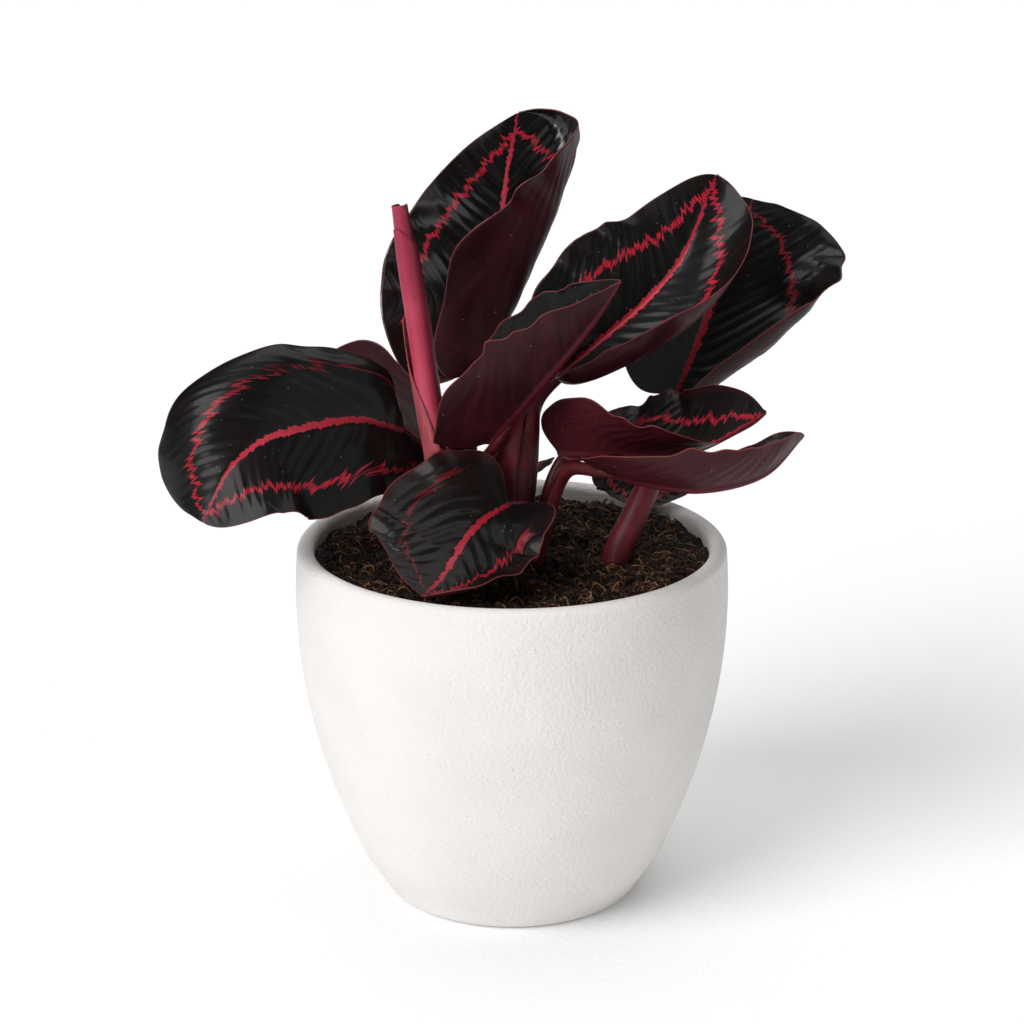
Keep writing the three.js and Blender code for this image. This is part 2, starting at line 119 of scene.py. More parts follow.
# Each leaf has
#   midrib  points from the stem to the tip;
#   face    the way its upper side faces, at the base, the middle and the tip;
#   left and right, its halves, as seen from the upper side with the tip up;
#   wave    the size of the margin's waves, how many there are, and the share of a wave they start at;
#   stem    points of (x, y, z, radius), from the roots up;
#   ring    the share of the half width where the pink ring runs, the share of the midrib where its two
#           sides meet, and how long it keeps its width before they do;
#   deep    how far its pink is dark red.
LEAVES = {
    "tall": {
        "midrib": [(-12, 14, 185), (-7, 20, 207), (-4, 24, 229), (-2, 28, 248), (2, 36, 269)],
        "face": [(-0.2, -1, 0.1), (-0.1, -1, 0), (0, -1, 0.3)],
        "left": blade_half(
            39, 0.35, [(0, 20, 0, 1), (0, 15, 0, 1), (0, 10, 0, 1)],
            sweep=-0.14, back=0.8, scallop=0.1, blush_and_painted_light=0.1,
        ),
        "right": blade_half(
            44, 0.45, [(-20, 205, 0.03, 0.28), (-20, 135, 0.2, 0.6), (0, 90, 0.62, 1)],
            sweep=0.48, back=0.6, scallop=2.2, blush_and_painted_light=0.1,
        ),
        "wave": (1.4, 4, 0.2),
        "stem": [(-14, 16, 98, 2.6), (-14, 16, 130, 2.4), (-14, 16, 160, 2)],
        "ring": (0.76, 0.93, 2),
        "deep": 0.1,
    },
    "rolled": {
        "midrib": [(-7, -14, 167), (3, -23, 181), (15, -30, 197), (26, -34, 212), (35, -34, 226)],
        "face": [(-0.7, 0, 0.7), (-0.7, 0.1, 0.7), (-0.8, 0, 0.6)],
        "left": blade_half(
            26, 0.4, [(40, 50, 0, 1), (35, 50, 0, 1), (30, 40, 0, 1)],
            back=1, scallop=0.8, blush_and_painted_light=0.15,
        ),
        "right": blade_half(
            26.5, 0.31, [(45, 30, 0, 1), (45, 30, 0, 1), (40, 30, 0, 1)],
            back=1.25, scallop=0.9, blush_and_painted_light=0.15,
        ),
        "wave": (1.2, 4, 0.4),
        "stem": [(-11, 1, 98, 2.2), (-12, 1, 125, 2), (-13, -5, 150, 1.8)],
        "ring": (0.62, 0.95, 3),
        "deep": 0.1,
    },
    "centre": {
        "midrib": [(17, 2, 186), (30, 0, 198), (45, 2, 211), (58, 8, 226), (69, 18, 251)],
        "face": [(-0.1, -1, 0.3), (0, -1, 0.2), (0, -1, 0)],
        "left": blade_half(31, 0.43, [(10, 0, 0, 1), (0, 0, 0, 1), (0, -20, 0, 1)], scallop=0.7, blush_and_painted_light=0.1),
        "right": blade_half(
            34.5, 0.47, [(40, 120, 0.2, 1), (35, 120, 0.35, 1), (0, 30, 0, 1)],
            back=0.1, blush_and_painted_light=0.1,
        ),
        "wave": (1.3, 4, 0.1),
        "stem": [
            (-1, -2, 98, 5.5), (-1, -2, 122, 7), (0.5, -3, 148, 8.1), (4, -2, 167, 5.6), (9, 2, 176.5, 2.3),
        ],
        "ring": (0.62, 0.96, 3),
        "deep": 0.1,
    },
    "right": {
        "midrib": [(57, 14, 176), (64, 24, 190), (71, 34, 206), (78, 40, 222), (84, 42, 238)],
        "face": [(0.1, -0.9, 0.4), (0.1, -0.9, 0.3), (0.1, -1, 0)],
        "left": blade_half(
            33, 0.45, [(10, 0, 0, 1), (5, 0, 0, 1), (0, -10, 0, 1)],
            back=0.6, shows=(0.45, 0, 1), scallop=0.8, blush_and_painted_light=0,
        ),
        "right": blade_half(
            43.5, 0.56, [(30, 130, 0.2, 1), (10, 110, 0.5, 1), (0, -20, 0, 1)],
            sweep=0.14, back=0.4, blush_and_painted_light=0,
        ),
        "wave": (1.3, 4, 0.6),
        "stem": [
            (31, -11, 98, 4.6), (35, -8, 121, 4.8), (41, -5, 135, 4.6), (48, -1, 150, 4), (54, 7, 165, 2.8),
        ],
        "ring": (0.67, 0.93, 3),
        "deep": 0.75,
    },
    "side_upper": {
        "midrib": [(17, -4, 159), (30, -12, 161), (46, -18, 163), (64, -20, 166), (85, -16, 177)],
        "face": [(0, 0.1, 1), (0, 0, 1), (0, 0, 1)],
        # The blush of these halves lightens their underside, which faces down: partly painted light.
        "left": blade_half(28, 0.58, [(30, 0, 0, 1), (32, 0, 0, 1), (35, 0, 0, 1)], back=0.6, blush_and_painted_light=1),
        "right": blade_half(26, 0.4, [(70, 30, 0, 1), (35, 15, 0, 1), (10, 0, 0, 1)], back=0.8, blush_and_painted_light=1),
        "wave": (1, 3, 0.3),
        "stem": [(9, 4, 98, 2.2), (9, 4, 122, 2.2), (12, -5, 145, 2)],
        "ring": (0.62, 0.97, 3),
        "deep": 0.2,
    },
    "side_lower": {
        "midrib": [(29, -28, 162), (42, -38, 160), (62, -44, 159), (82, -44, 164), (95, -40, 176)],
        "face": [(0, 0, 1), (0, 0, 1), (-0.3, 0, 1)],
        # The blush of these halves lightens their underside, which faces down: partly painted light.
        "left": blade_half(17, 0.45, [(10, 0, 0, 1), (10, 0, 0, 1), (40, 30, 0, 1)], blush_and_painted_light=0.4),
        "right": blade_half(20, 0.55, [(10, 30, 0, 1), (35, 40, 0, 1), (30, 20, 0, 1)], blush_and_painted_light=0.4),
        "wave": (0.8, 3, 0.8),
        "stem": [(9, -12, 98, 2.4), (9, -12, 122, 2.2), (14, -13, 145, 2.3), (19, -18, 157.6, 2.5)],
        "ring": (0.66, 0.95, 3),
        "deep": 0.1,
    },
    "low_right": {
        "midrib": [(45, 48, 145), (46, 46, 138), (47, 42, 132), (47, 36, 127)],
        "face": [(0, -0.8, 0.5), (0, -0.8, 0.5), (0, -0.8, 0.5)],
        "left": blade_half(22, 0.45, [(10, 10, 0, 1), (5, 10, 0, 1)]),
        "right": blade_half(18, 0.45, [(10, 10, 0, 1), (5, 10, 0, 1)]),
        "wave": (0.6, 2, 0.3),
        "stem": [
            (10, 15, 98, 2), (11, 15, 125, 1.9), (17, 22, 146, 1.8), (31, 46, 152, 1.7), (41, 55, 151, 1.7),
        ],
        "ring": (0.66, 0.93, 3),
        "deep": 0.6,
    },
    "front": {
        "midrib": [
            (-1, -28, 148.5), (-7, -31, 146), (-14, -37, 141.5), (-19, -46, 136), (-23.5, -54, 131),
            (-29, -61, 128),
        ],
        "face": [(-0.1, -0.8, 0.6), (-0.1, -0.8, 0.6), (-0.1, -0.5, 0.8)],
        "left": blade_half(
            26, 0.46, [(30, 0, 0, 1), (5, 15, 0, 1), (10, 70, 0.3, 1)],
            back=1.3, shows=(0.18, 0, 1), scallop=0.8, blush_and_painted_light=0.25,
        ),
        "right": blade_half(
            32.5, 0.56, [(4, 0, 0, 1), (0, 0, 0, 1), (0, 0, 0, 1)],
            sweep=-0.2, back=0.45, shows=(0.25, 0, 0.45), scallop=0.9, blush_and_painted_light=0.7,
        ),
        "wave": (0.8, 3, 0.5),
        "stem": [(4, -13, 98, 2.2), (4, -13, 122, 2), (6, -16, 137, 1.8), (5, -23, 146, 1.8)],
        "ring": (0.7, 0.95, 3),
        "deep": 0.55,
    },
    "left": {
        "midrib": [
            (-37, -6, 168), (-51, -14, 174), (-67, -22, 174), (-83, -30, 171), (-94, -36, 162),
            (-102, -40, 146),
        ],
        "face": [(0, -0.9, 0.5), (0, -0.9, 0.5), (-0.4, -0.8, 0.5)],
        "left": blade_half(
            31, 0.48, [(10, -20, 0, 1), (0, -10, 0, 1), (0, 0, 0, 1)],
            back=1.5, shows=(0.1, 0, 1), scallop=0.3, blush_and_painted_light=0.1,
        ),
        "right": blade_half(
            33, 0.62, [(20, -60, 0.4, 1), (20, -70, 0.5, 1), (0, -20, 0, 1)],
            back=-0.3, shows=(0.6, 0.35, 1), scallop=0.7, blush_and_painted_light=0.1,
        ),
        "wave": (0.5, 3, 0.1),
        "stem": [(-20, 9, 98, 2.4), (-21, 9, 125, 2.2), (-25, 7, 150, 2)],
        "ring": (0.68, 0.97, 3),
        "deep": 0.3,
    },
    "back_left": {
        "midrib": [(-29, 24, 156), (-40, 31, 160), (-53, 38, 164), (-66, 43, 162), (-74, 46, 156)],
        "face": [(0, 0, 1), (0, 0, 1), (0, 0, 1)],
        "left": blade_half(27, 0.4, [(60, 30, 0, 1), (60, 30, 0, 1), (50, 10, 0, 1)], back=0.8),
        "right": blade_half(22, 0.45, [(10, 10, 0, 1), (5, 10, 0, 1)], back=0.8),
        "wave": (1, 3, 0.4),
        "stem": [(-16, 22, 98, 2.4), (-17, 22, 125, 2.2), (-22, 20, 148, 2)],
        "ring": (0.66, 0.95, 3),
        "deep": 0.1,
    },
    "low_back": {
        "midrib": [(1, 26, 142), (1, 36, 142), (2, 47, 139), (3, 56, 134)],
        "face": [(0, 0, 1), (0, 0.2, 1), (0, 0.4, 1)],
        "left": blade_half(14, 0.45, [(10, 10, 0, 1), (5, 10, 0, 1)]),
        "right": blade_half(14, 0.45, [(10, 10, 0, 1), (5, 10, 0, 1)]),
        "wave": (0.6, 2, 0.3),
        "stem": [(3, 22, 98, 2), (3, 22, 125, 1.9), (2, 21, 135, 1.7)],
        "ring": (0.66, 0.93, 3),
        "deep": 0.8,
    },
}

# The new leaf is still rolled into a spear: a sheet wound round its own axis. Points are (x, y, z, radius).
ROLL = {
    "axis": [
        (-25, -11, 166, 4.6),
        (-28, -11, 182, 4.6),
        (-31, -10, 205, 4.55),
        (-34, -9, 225, 4.4),
        (-37, -8, 246, 3.6),
    ],
    "length": 82,
    "girth": 27,
    "turns": 1.7,
    "pitch": 0.8,  # how much nearer to the axis the sheet comes with each turn
    "thickness": 0.6,
    "stem": [(-18, -6, 98, 5), (-19.5, -6, 122, 6), (-23, -8.2, 149, 5.7), (-25.2, -10.7, 165, 4.2)],
}

# Sheaths that hug part of a stem's round. Each has an axis of points (x, y, z, radius) and, along it, the
# turns round the stem where its borders run: 0 is at the viewer's left, 0.25 in front and 0.5 at the right.
WING_THICKNESS = 0.35
WINGS = {
    "new_leaf": [
        {
            "axis": [
                (-23, -8.2, 149, 6.1), (-25.1, -10.6, 163, 5.1), (-27.5, -11, 178, 5.1),
                (-29.8, -10.6, 193, 5.2), (-31.8, -10, 208, 5.1),
            ],
            "borders": [(-0.5, 0.5), (-0.45, 0.31), (-0.35, 0.21), (-0.25, 0.06), (-0.12, -0.03)],
        },
        {
            "axis": [
                (-21.6, -7.6, 146, 8), (-22.6, -8.6, 154, 7.7), (-24.2, -10, 162, 6.4),
                (-25.6, -10.8, 168, 5.2), (-26.6, -11, 174, 4.9),
            ],
            "borders": [(0.2, 0.7), (0.25, 0.7), (0.3, 0.65), (0.37, 0.6), (0.46, 0.55)],
        },
    ],
    "centre": [
        {
            "axis": [
                (-0.6, -2, 124, 7.4), (0.2, -2.6, 140, 8.4), (0.8, -3, 154, 8.8), (2.2, -3, 167, 7.6),
                (5, -2.2, 182, 4.2),
            ],
            "borders": [(-0.4, 0.27), (-0.4, 0.27), (-0.35, 0.27), (-0.1, 0.27), (0.22, 0.27)],
        },
        {
            "axis": [(2.6, -3, 152, 4), (4, -3, 164, 4.4), (5.4, -2.8, 174, 3.8), (7, -2.6, 183, 2)],
            "borders": [(0.2, 0.38), (0.22, 0.38), (0.24, 0.38), (0.3, 0.34)],
        },
    ],
}

# The faces of a blade, from margin to margin, and of the round forms: (along, across).
BLADE_GRID = (150, 76)
STEM_GRID = (56, 20)
SHEATH_GRID = (60, 28)
WING_GRID = (40, 16)
ROLL_GRID = (150, 90)
ROLL_FRAMES = 600  # the directions along the rolled leaf's axis are worked out at this many steps


# ------------------------------------------------------------------ colours and nodes
def linear(hex_colour):
    """The linear colour, with alpha, of an sRGB hex value such as "8c2f3f"."""
    channels = [int(hex_colour[i : i + 2], 16) / 255 for i in (0, 2, 4)]
    return [c / 12.92 if c <= 0.04045 else ((c + 0.055) / 1.055) ** 2.4 for c in channels] + [1.0]


def per_mm(size):
    """The scale of a pattern on Object coordinates whose features are this wide."""
    return 1 / (size * MM)


# The colour sockets of a Mix node, by their places among its sockets.
FACTOR, FIRST, SECOND, MIXED = 0, 6, 7, 2


def add_node(tree, kind, inputs=None, output=0, stops=(), **settings):
    """Adds a shader node with its settings, its sockets' values or links and its colour ramp's stops, and
    gives one of its outputs. A colour is linear, or an sRGB hex value."""
    node = tree.nodes.new(f"ShaderNode{kind}")
    for name, value in settings.items():
        setattr(node, name, value)
    for name, value in (inputs or {}).items():
        if isinstance(value, bpy.types.NodeSocket):
            tree.links.new(value, node.inputs[name])
        else:
            node.inputs[name].default_value = linear(value) if isinstance(value, str) else value
    for k, (place, colour) in enumerate(stops):
        if k < 2:
            node.color_ramp.elements[k].position = place
        else:
            node.color_ramp.elements.new(place)
        node.color_ramp.elements[k].color = linear(colour) if isinstance(colour, str) else colour
    return node.outputs[output] if node.outputs else node


def new_material(name):
    material = bpy.data.materials.new(name)
    material.use_nodes = True
    material.node_tree.nodes.clear()
    return material, material.node_tree


def add_surface(tree, colour, roughness, height, shine):
    """The shader that ends a material. Shine holds the values of its other sockets."""
    bump = add_node(tree, "Bump", {"Height": height, "Strength": 1.0, "Distance": MM})
    sockets = {"Base Color": colour, "Roughness": roughness, "Normal": bump, **shine}
    shader = add_node(tree, "BsdfPrincipled", sockets)
    add_node(tree, "OutputMaterial", {"Surface": shader})


def layered(tree, base, layers):
    """Lays colours over a base, each as strongly as its mask says. A mask is an output, or (value, none,
    full, most): it is 0 where the value is at none, and most where the value is at full."""
    for mask, colour in layers:
        if isinstance(mask, tuple):
            value, none, full, most = mask
            ends = {"From Min": none, "From Max": full, "To Max": most}
            mask = add_node(tree, "MapRange", {"Value": value, **ends})
        sockets = {FACTOR: mask, FIRST: base, SECOND: colour}
        base = add_node(tree, "Mix", sockets, output=MIXED, data_type="RGBA")
    return base


# ------------------------------------------------------------------ curves and meshes
def along(stations, t):
    """The smooth (Catmull-Rom) curve through evenly numbered stations, with t from 0 to 1."""
    last = len(stations) - 1
    i = min(int(t * last), last - 1)
    f = t * last - i
    point = []
    for k, a in enumerate(stations[i]):
        b = stations[i + 1][k]
        before = stations[i - 1][k] if i > 0 else 2 * a - b
        after = stations[i + 2][k] if i < last - 1 else 2 * b - a
        square = 2 * before - 5 * a + 4 * b - after
        cube = 3 * a - before - 3 * b + after
        point.append(a + 0.5 * ((b - before) * f + square * f**2 + cube * f**3))
    return point


def place_along(stations, t):
    return Vector(along(stations, t)[:3])


def tangent_along(stations, t):
    step = 1e-3
    return (place_along(stations, min(1, t + step)) - place_along(stations, max(0, t - step))).normalized()


def smooth_step(low, high, value):
    share = min(1.0, max(0.0, (value - low) / (high - low)))
    return share * share * (3 - 2 * share)


def crowded(k, count):
    """Stations from 0 to 1 that crowd towards both ends, where a leaf's outline turns fastest."""
    return (1 - math.cos(math.pi * k / count)) / 2


def sheet_normals(points):
    """The upper side's normal at every point of rows of points."""
    rows, columns = len(points) - 1, len(points[0]) - 1
    normals = []
    for r in range(rows + 1):
        line = []
        for c in range(columns + 1):
            across = points[r][min(c + 1, columns)] - points[r][max(c - 1, 0)]
            forward = points[min(r + 1, rows)][c] - points[max(r - 1, 0)][c]
            line.append(across.cross(forward).normalized())
        normals.append(line)
    return normals


def moved_rows(points, normals, distance_at):
    """Rows of points, each moved along its normal by distance_at(row, column)."""
    return [
        [point + normals[r][c] * distance_at(r, c) for c, point in enumerate(line)]
        for r, line in enumerate(points)
    ]


def add_grid(bm, points, facts=None, material_index=0, turned=False):
    """Adds a grid whose vertices lie at rows of points in millimetres. Facts are values kept on the vertices
    as attributes, by name, in rows of the same form."""
    rows, columns = len(points) - 1, len(points[0]) - 1
    if not bm.loops.layers.uv:
        bm.loops.layers.uv.new("UVMap")
    kept = bm.verts.layers.float
    layers = {fact: kept.get(fact) or kept.new(fact) for fact in facts or {}}
    grid = bmesh.ops.create_grid(bm, x_segments=columns, y_segments=rows, size=0.5, calc_uvs=True)
    faces = set()
    for vertex in grid["verts"]:
        c = round((vertex.co.x + 0.5) * columns)
        r = round((vertex.co.y + 0.5) * rows)
        vertex.co = points[r][c] * MM
        for fact, layer in layers.items():
            vertex[layer] = facts[fact][r][c]
        faces.update(vertex.link_faces)
    for face in faces:
        face.material_index = material_index
    if turned:
        bmesh.ops.reverse_faces(bm, faces=list(faces))
    return grid["verts"]


def add_sheet(bm, upper, lower, facts, upper_index=0, lower_index=1):
    """Adds a closed sheet: an upper side, an under side and the edge between them, whose faces it gives."""
    verts = add_grid(bm, upper, facts, upper_index)
    verts += add_grid(bm, lower, facts, lower_index, turned=True)
    rim = {edge for vertex in verts for edge in vertex.link_edges if edge.is_boundary}
    return bmesh.ops.bridge_loops(bm, edges=list(rim))["faces"]


def add_tube(bm, rings, facts):
    """Adds a closed tube through rings of points; the first and last point of each ring are the same."""
    verts = add_grid(bm, rings, facts)
    bmesh.ops.remove_doubles(bm, verts=verts, dist=1e-7)
    ends = {edge for vertex in verts if vertex.is_valid for edge in vertex.link_edges if edge.is_boundary}
    bmesh.ops.holes_fill(bm, edges=list(ends), sides=0)


def ring_frames(stations, steps, first_side):
    """For each station of a tube: its share, centre, radius, and the two directions of its section."""
    side = Vector(first_side)
    for k in range(steps + 1):
        t = k / steps
        tangent = tangent_along(stations, t)
        side = (side - tangent * side.dot(tangent)).normalized()
        yield t, place_along(stations, t), along(stations, t)[3], side, tangent.cross(side)


def tube_rings(stations, steps, sides, radius_at, first_side=(0, 1, 0)):
    """Rings of a tube along (x, y, z, radius) stations, its radius times radius_at(t, turn)."""
    rings = []
    for t, centre, radius, side, other in ring_frames(stations, steps, first_side):
        ring = []
        for j in range(sides + 1):
            turn = j / sides
            reach = radius * radius_at(t, turn % 1)
            angle = 2 * math.pi * turn
            ring.append(centre + side * (reach * math.cos(angle)) + other * (reach * math.sin(angle)))
        rings.append(ring)
    return rings


def add_piece(name, bm, materials, nodes):
    """Makes the finished mesh an object that stands for the named solids."""
    for face in bm.faces:
        face.smooth = True
    mesh = bpy.data.meshes.new(name)
    bm.to_mesh(mesh)
    bm.free()
    for material in materials:
        mesh.materials.append(material)
    piece = bpy.data.objects.new(name, mesh)
    bpy.context.scene.collection.objects.link(piece)
    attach(piece, "root")
    if nodes:
        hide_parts(*nodes)
    return piece


# ------------------------------------------------------------------ leaf blades
def outline(t, widest):
    """A calathea leaf's outline: broad, round at the stem, drawn to a short point at the tip."""
    base = 0.5
    tip = base * (1 - widest) / widest
    peak = widest**base * (1 - widest) ** tip
    return t**base * max(0.0, 1 - t) ** tip / peak


def half_width(half, t):
    edge = BLADE["stem_end"] + (BLADE["tip_end"] - BLADE["stem_end"]) * t
    return edge + (half["width"] - edge) * outline(t, half["widest"])


def normal_along(leaf, t):
    tangent = tangent_along(leaf["midrib"], t)
    face = Vector(along(leaf["face"], t))
    return (face - tangent * face.dot(tangent)).normalized()


def ahead_of_station(half, t, width):
    """How far the margin lies forward of its station on the midrib, or behind it at the basal lobes."""
    near_stem = math.exp(-t / BLADE["lobe_reach"])
    return (half["sweep"] * (1 - near_stem) - half["back"] * near_stem) * width


def length_of(stations, steps=50):
    """The length of the curve through stations, in millimetres."""
    places = [place_along(stations, k / steps) for k in range(steps + 1)]
    return sum((b - a).length for a, b in zip(places, places[1:]))


def vein_runs(half, length, rows):
    """For each row, how far along the middle of a half it lies on the flat blade, in millimetres. The side
    veins are counted there, so that they stay evenly spaced round the basal lobes and the tip."""
    middle = 0.6  # share of the half's width
    places = []
    for r in range(rows + 1):
        t = crowded(r, rows)
        width = half_width(half, t)
        places.append((length * t + middle * ahead_of_station(half, t, width), middle * width))
    return [0.0, *itertools.accumulate(math.dist(a, b) for a, b in zip(places, places[1:]))]


def blade_surface(leaf, settings, seed):
    """Rows of the upper side's points, before its fine relief, and the facts that the relief and the markings
    follow."""
    rows, columns = BLADE_GRID
    size, count, phase = leaf["wave"]
    middle = columns // 2
    length = length_of(leaf["midrib"])
    runs = {side: vein_runs(leaf[side], length, rows) for side in ("left", "right")}
    points = []
    facts = {fact: [] for fact in BLADE_FACTS}
    for r in range(rows + 1):
        t = crowded(r, rows)
        centre = place_along(leaf["midrib"], t)
        tangent = tangent_along(leaf["midrib"], t)
        normal = normal_along(leaf, t)
        band = settings.mm("rib_band") * min(1, 0.4 + 1.8 * t) * max(0.0, 1 - t / 0.98) ** 0.5
        line = [None] * (columns + 1)
        # The last fact, how dark the pink is, is the same all over. The others are filled in below.
        for fact_rows in facts.values():
            fact_rows.append([leaf["deep"]] * (columns + 1))
        for side, sign, offset in (("left", -1, 560), ("right", 1, 60)):
            half = leaf[side]
            outward = tangent.cross(normal) * sign
            width = half_width(half, t)
            fold, turn, start, end = along(half["bend"], t)
            ring_share, closes, fullness = leaf["ring"]
            shows, least, most = half["shows"]
            ring = ring_share * width * math.sqrt(max(0.0, 1 - (t / closes) ** fullness))
            past_ring = max(0.0, t - closes) * length
            out = up = 0.0
            drift = noise.noise(Vector((4 * t, 3 * sign, seed)))
            scallop_angle = 2 * math.pi * (settings.scallops * t + 0.6 * drift)
            unrest = half["width"] / 32 * math.sin(math.pi * t) ** 0.7
            scallop = settings.mm("scallop_depth") * half["scallop"] * unrest * math.sin(scallop_angle)
            ruffle_angle = 2 * math.pi * (settings.ruffles * t + 0.7 * drift)
            ruffle = settings.mm("ruffle_height") * half["scallop"] * unrest * math.sin(ruffle_angle)
            wave_angle = 2 * math.pi * (count * t + phase + (0.37 if sign < 0 else 0))
            wave = size * math.sin(wave_angle) * math.sin(math.pi * t)
            for k in range(middle + 1):
                share = k / middle
                if k > 0:
                    turned = min(1.0, max(0.0, ((k - 0.5) / middle - start) / (end - start)))
                    angle = math.radians(fold + turn * turned)
                    step = (width + 4 * share**3 * scallop) / middle
                    out += math.cos(angle) * step
                    up += math.sin(angle) * step
                height = up + wave * share**2 + ruffle * share**3
                ahead = ahead_of_station(half, t, width) * share
                c = middle + sign * k
                line[c] = centre + outward * out + normal * height + tangent * ahead
                reach = share * width
                slant = (0.8 * reach + 0.5 * reach**2 / half["width"]) * smooth_step(0, 0.3, t)
                facts["vein"][r][c] = runs[side][r] - slant + offset
                facts["rib"][r][c] = reach
                facts["streak"][r][c] = reach - band
                facts["ring"][r][c] = reach - ring + past_ring
                facts["margin"][r][c] = width - reach
                facts["rise"][r][c] = t
                facts["blush_and_painted_light"][r][c] = half["blush_and_painted_light"]
                facts["shown"][r][c] = least + (most - least) * smooth_step(shows - 0.12, shows + 0.12, t)
        points.append(line)
    return points, facts


def blade_relief(leaf, facts, settings, seed):
    """The fine relief of the upper side at (row, column): pleats along the side veins, a groove over the
    midrib and soft dents."""
    rows = len(facts["rib"]) - 1

    def relief(r, c):
        rib = facts["rib"][r][c]
        vein = facts["vein"][r][c]
        t = crowded(r, rows)
        swing = 0.6 + 0.4 * noise.noise(Vector((vein / 9, rib / 14, seed)))
        fold = swing * math.sin(2 * math.pi * vein / settings.mm("pleat_spacing"))
        fade = min(1.0, rib / 7) * smooth_step(0, 9, facts["margin"][r][c]) * math.sin(math.pi * t) ** 0.5
        groove = -0.35 * math.exp(-((rib / 0.9) ** 2)) * math.sin(math.pi * t)
        dent = noise.noise(Vector((vein / 16, rib / 11, seed + 9))) * min(1, rib / 9)
        return settings.mm("pleat_height") * fold * fade + groove + settings.mm("dent_height") * dent

    return relief


def build_blade(name, leaf, settings, materials, seed):
    points, facts = blade_surface(leaf, settings, seed)
    rows = len(points) - 1
    upper = moved_rows(points, sheet_normals(points), blade_relief(leaf, facts, settings, seed))

    def depth(r, c):
        rib = BLADE["rib_depth"] * (1 - 0.8 * crowded(r, rows))
        rib *= math.exp(-((facts["rib"][r][c] / BLADE["rib_width"]) ** 2))
        return -(settings.mm("thickness") * (0.6 + 0.4 * smooth_step(0, 6, facts["margin"][r][c])) + rib)

    lower = moved_rows(upper, sheet_normals(upper), depth)
    bm = bmesh.new()
    add_sheet(bm, upper, lower, facts)
    return add_piece(f"blade_{name}", bm, materials, [f"leaf_{name}_blade"])


# ------------------------------------------------------------------ stems, sheaths and the rolled leaf
def stem_stations(leaf):
    """The stem's stations, with its last stretch under the midrib, into which it fades."""
    end = Vector(leaf["midrib"][0]) - tangent_along(leaf["midrib"], 0) * STEM_END["behind"]
    end -= normal_along(leaf, 0) * STEM_END["below"]
    stations = [*leaf["stem"], (*end, STEM_END["radius"])]
    for t, below, radius in STEM_RUN_ON:
        point = place_along(leaf["midrib"], t) - normal_along(leaf, t) * below
        stations.append((*point, radius))
    return stations


def round_facts(stations, rings):
    """How far each vertex of a tube's rings lies along the tube and round it, for streaks without a seam."""
    facts = {"run": [], "round_x": [], "round_y": []}
    run = 0.0
    for k, ring in enumerate(rings):
        sides = len(ring) - 1
        if k > 0:
            run += (ring[0] - rings[k - 1][0]).length
        radius = along(stations, k / (len(rings) - 1))[3]
        facts["run"].append([run] * len(ring))
        facts["round_x"].append([radius * math.cos(2 * math.pi * j / sides) for j in range(sides + 1)])
        facts["round_y"].append([radius * math.sin(2 * math.pi * j / sides) for j in range(sides + 1)])
    return facts


def add_wing(bm, wing, material_index):
    """Adds a thin closed sheath that hugs a stem between two borders."""
    rows, columns = WING_GRID
    outer, facts = [], {"run": [], "round_x": [], "round_y": []}
    for t, centre, radius, side, other in ring_frames(wing["axis"], rows, (-1, 0, 0)):
        start, end = along(wing["borders"], t)
        turns = [2 * math.pi * (start + (end - start) * c / columns) for c in range(columns + 1)]
        outer.append([centre + (side * math.cos(a) + other * math.sin(a)) * radius for a in turns])
        facts["run"].append([centre.z] * (columns + 1))
        facts["round_x"].append([radius * math.cos(a) for a in turns])
        facts["round_y"].append([radius * math.sin(a) for a in turns])
    outer = outer[::-1]
    facts = {fact: values[::-1] for fact, values in facts.items()}
    inner = moved_rows(outer, sheet_normals(outer), lambda r, c: WING_THICKNESS)
    for face in add_sheet(bm, inner, outer, facts, material_index, material_index):
        face.material_index = material_index


def build_stem(name, leaf, materials, seed):
    stations = stem_stations(leaf)

    def radius_at(t, turn):
        swelling = 0.16 * math.exp(-(((t - 0.72) / 0.09) ** 2))
        unevenness = 0.05 * noise.noise(Vector((7 * t, math.cos(2 * math.pi * turn), seed)))
        return 1 + swelling + unevenness

    rings = tube_rings(stations, *STEM_GRID, radius_at)
    bm = bmesh.new()
    add_tube(bm, rings, round_facts(stations, rings))
    for number, wing in enumerate(WINGS.get(name, ())):
        add_wing(bm, wing, min(number + 1, len(materials) - 1))
    return add_piece(f"stem_{name}", bm, materials, [f"leaf_{name}_stem"])


def painted_shade_round_roll(turned):
    """Painted shade round the new leaf, on its side away from the key light: from 0 at its left to 1 at its
    right.
    """
    return smooth_step(0.14, 0.4, turned % 1) - smooth_step(0.6, 0.85, turned % 1)


def roll_rows():
    """The new leaf's outer side: a sheet wound inwards round its axis. Its outermost turn ends lower than the
    rest, in a slanted edge, and its innermost turns stop short, so that the roll is open at the top."""
    rows, columns = ROLL_GRID
    frames = list(ring_frames(ROLL["axis"], ROLL_FRAMES, (-1, -0.6, 0)))
    outer = []
    for r in range(rows + 1):
        line = []
        for c in range(columns + 1):
            turned = ROLL["turns"] * c / columns
            top = 0.91 - 0.08 * smooth_step(0.05, 0.42, turned) + 0.17 * smooth_step(0.45, 0.7, turned)
            top -= 0.06 * smooth_step(1.45, 1.55, turned)
            _, centre, radius, side, other = frames[round(ROLL_FRAMES * top * r / rows)]
            reach = radius - min(ROLL["pitch"], radius / (ROLL["turns"] + 0.45)) * turned
            angle = 2 * math.pi * turned
            line.append(centre + side * (reach * math.cos(angle)) + other * (reach * math.sin(angle)))
        outer.append(line)
    return outer


# ------------------------------------------------------------------ pot and mix
def pot_wall_radius(z, widest):
    return widest - POT["bow"] * (POT["widest_height"] - z) ** 2


def arc_points(centre_r, centre_z, radius, start, end, steps):
    angles = [math.radians(start + (end - start) * k / steps) for k in range(steps + 1)]
    return [(centre_r + radius * math.cos(a), centre_z + radius * math.sin(a)) for a in angles]


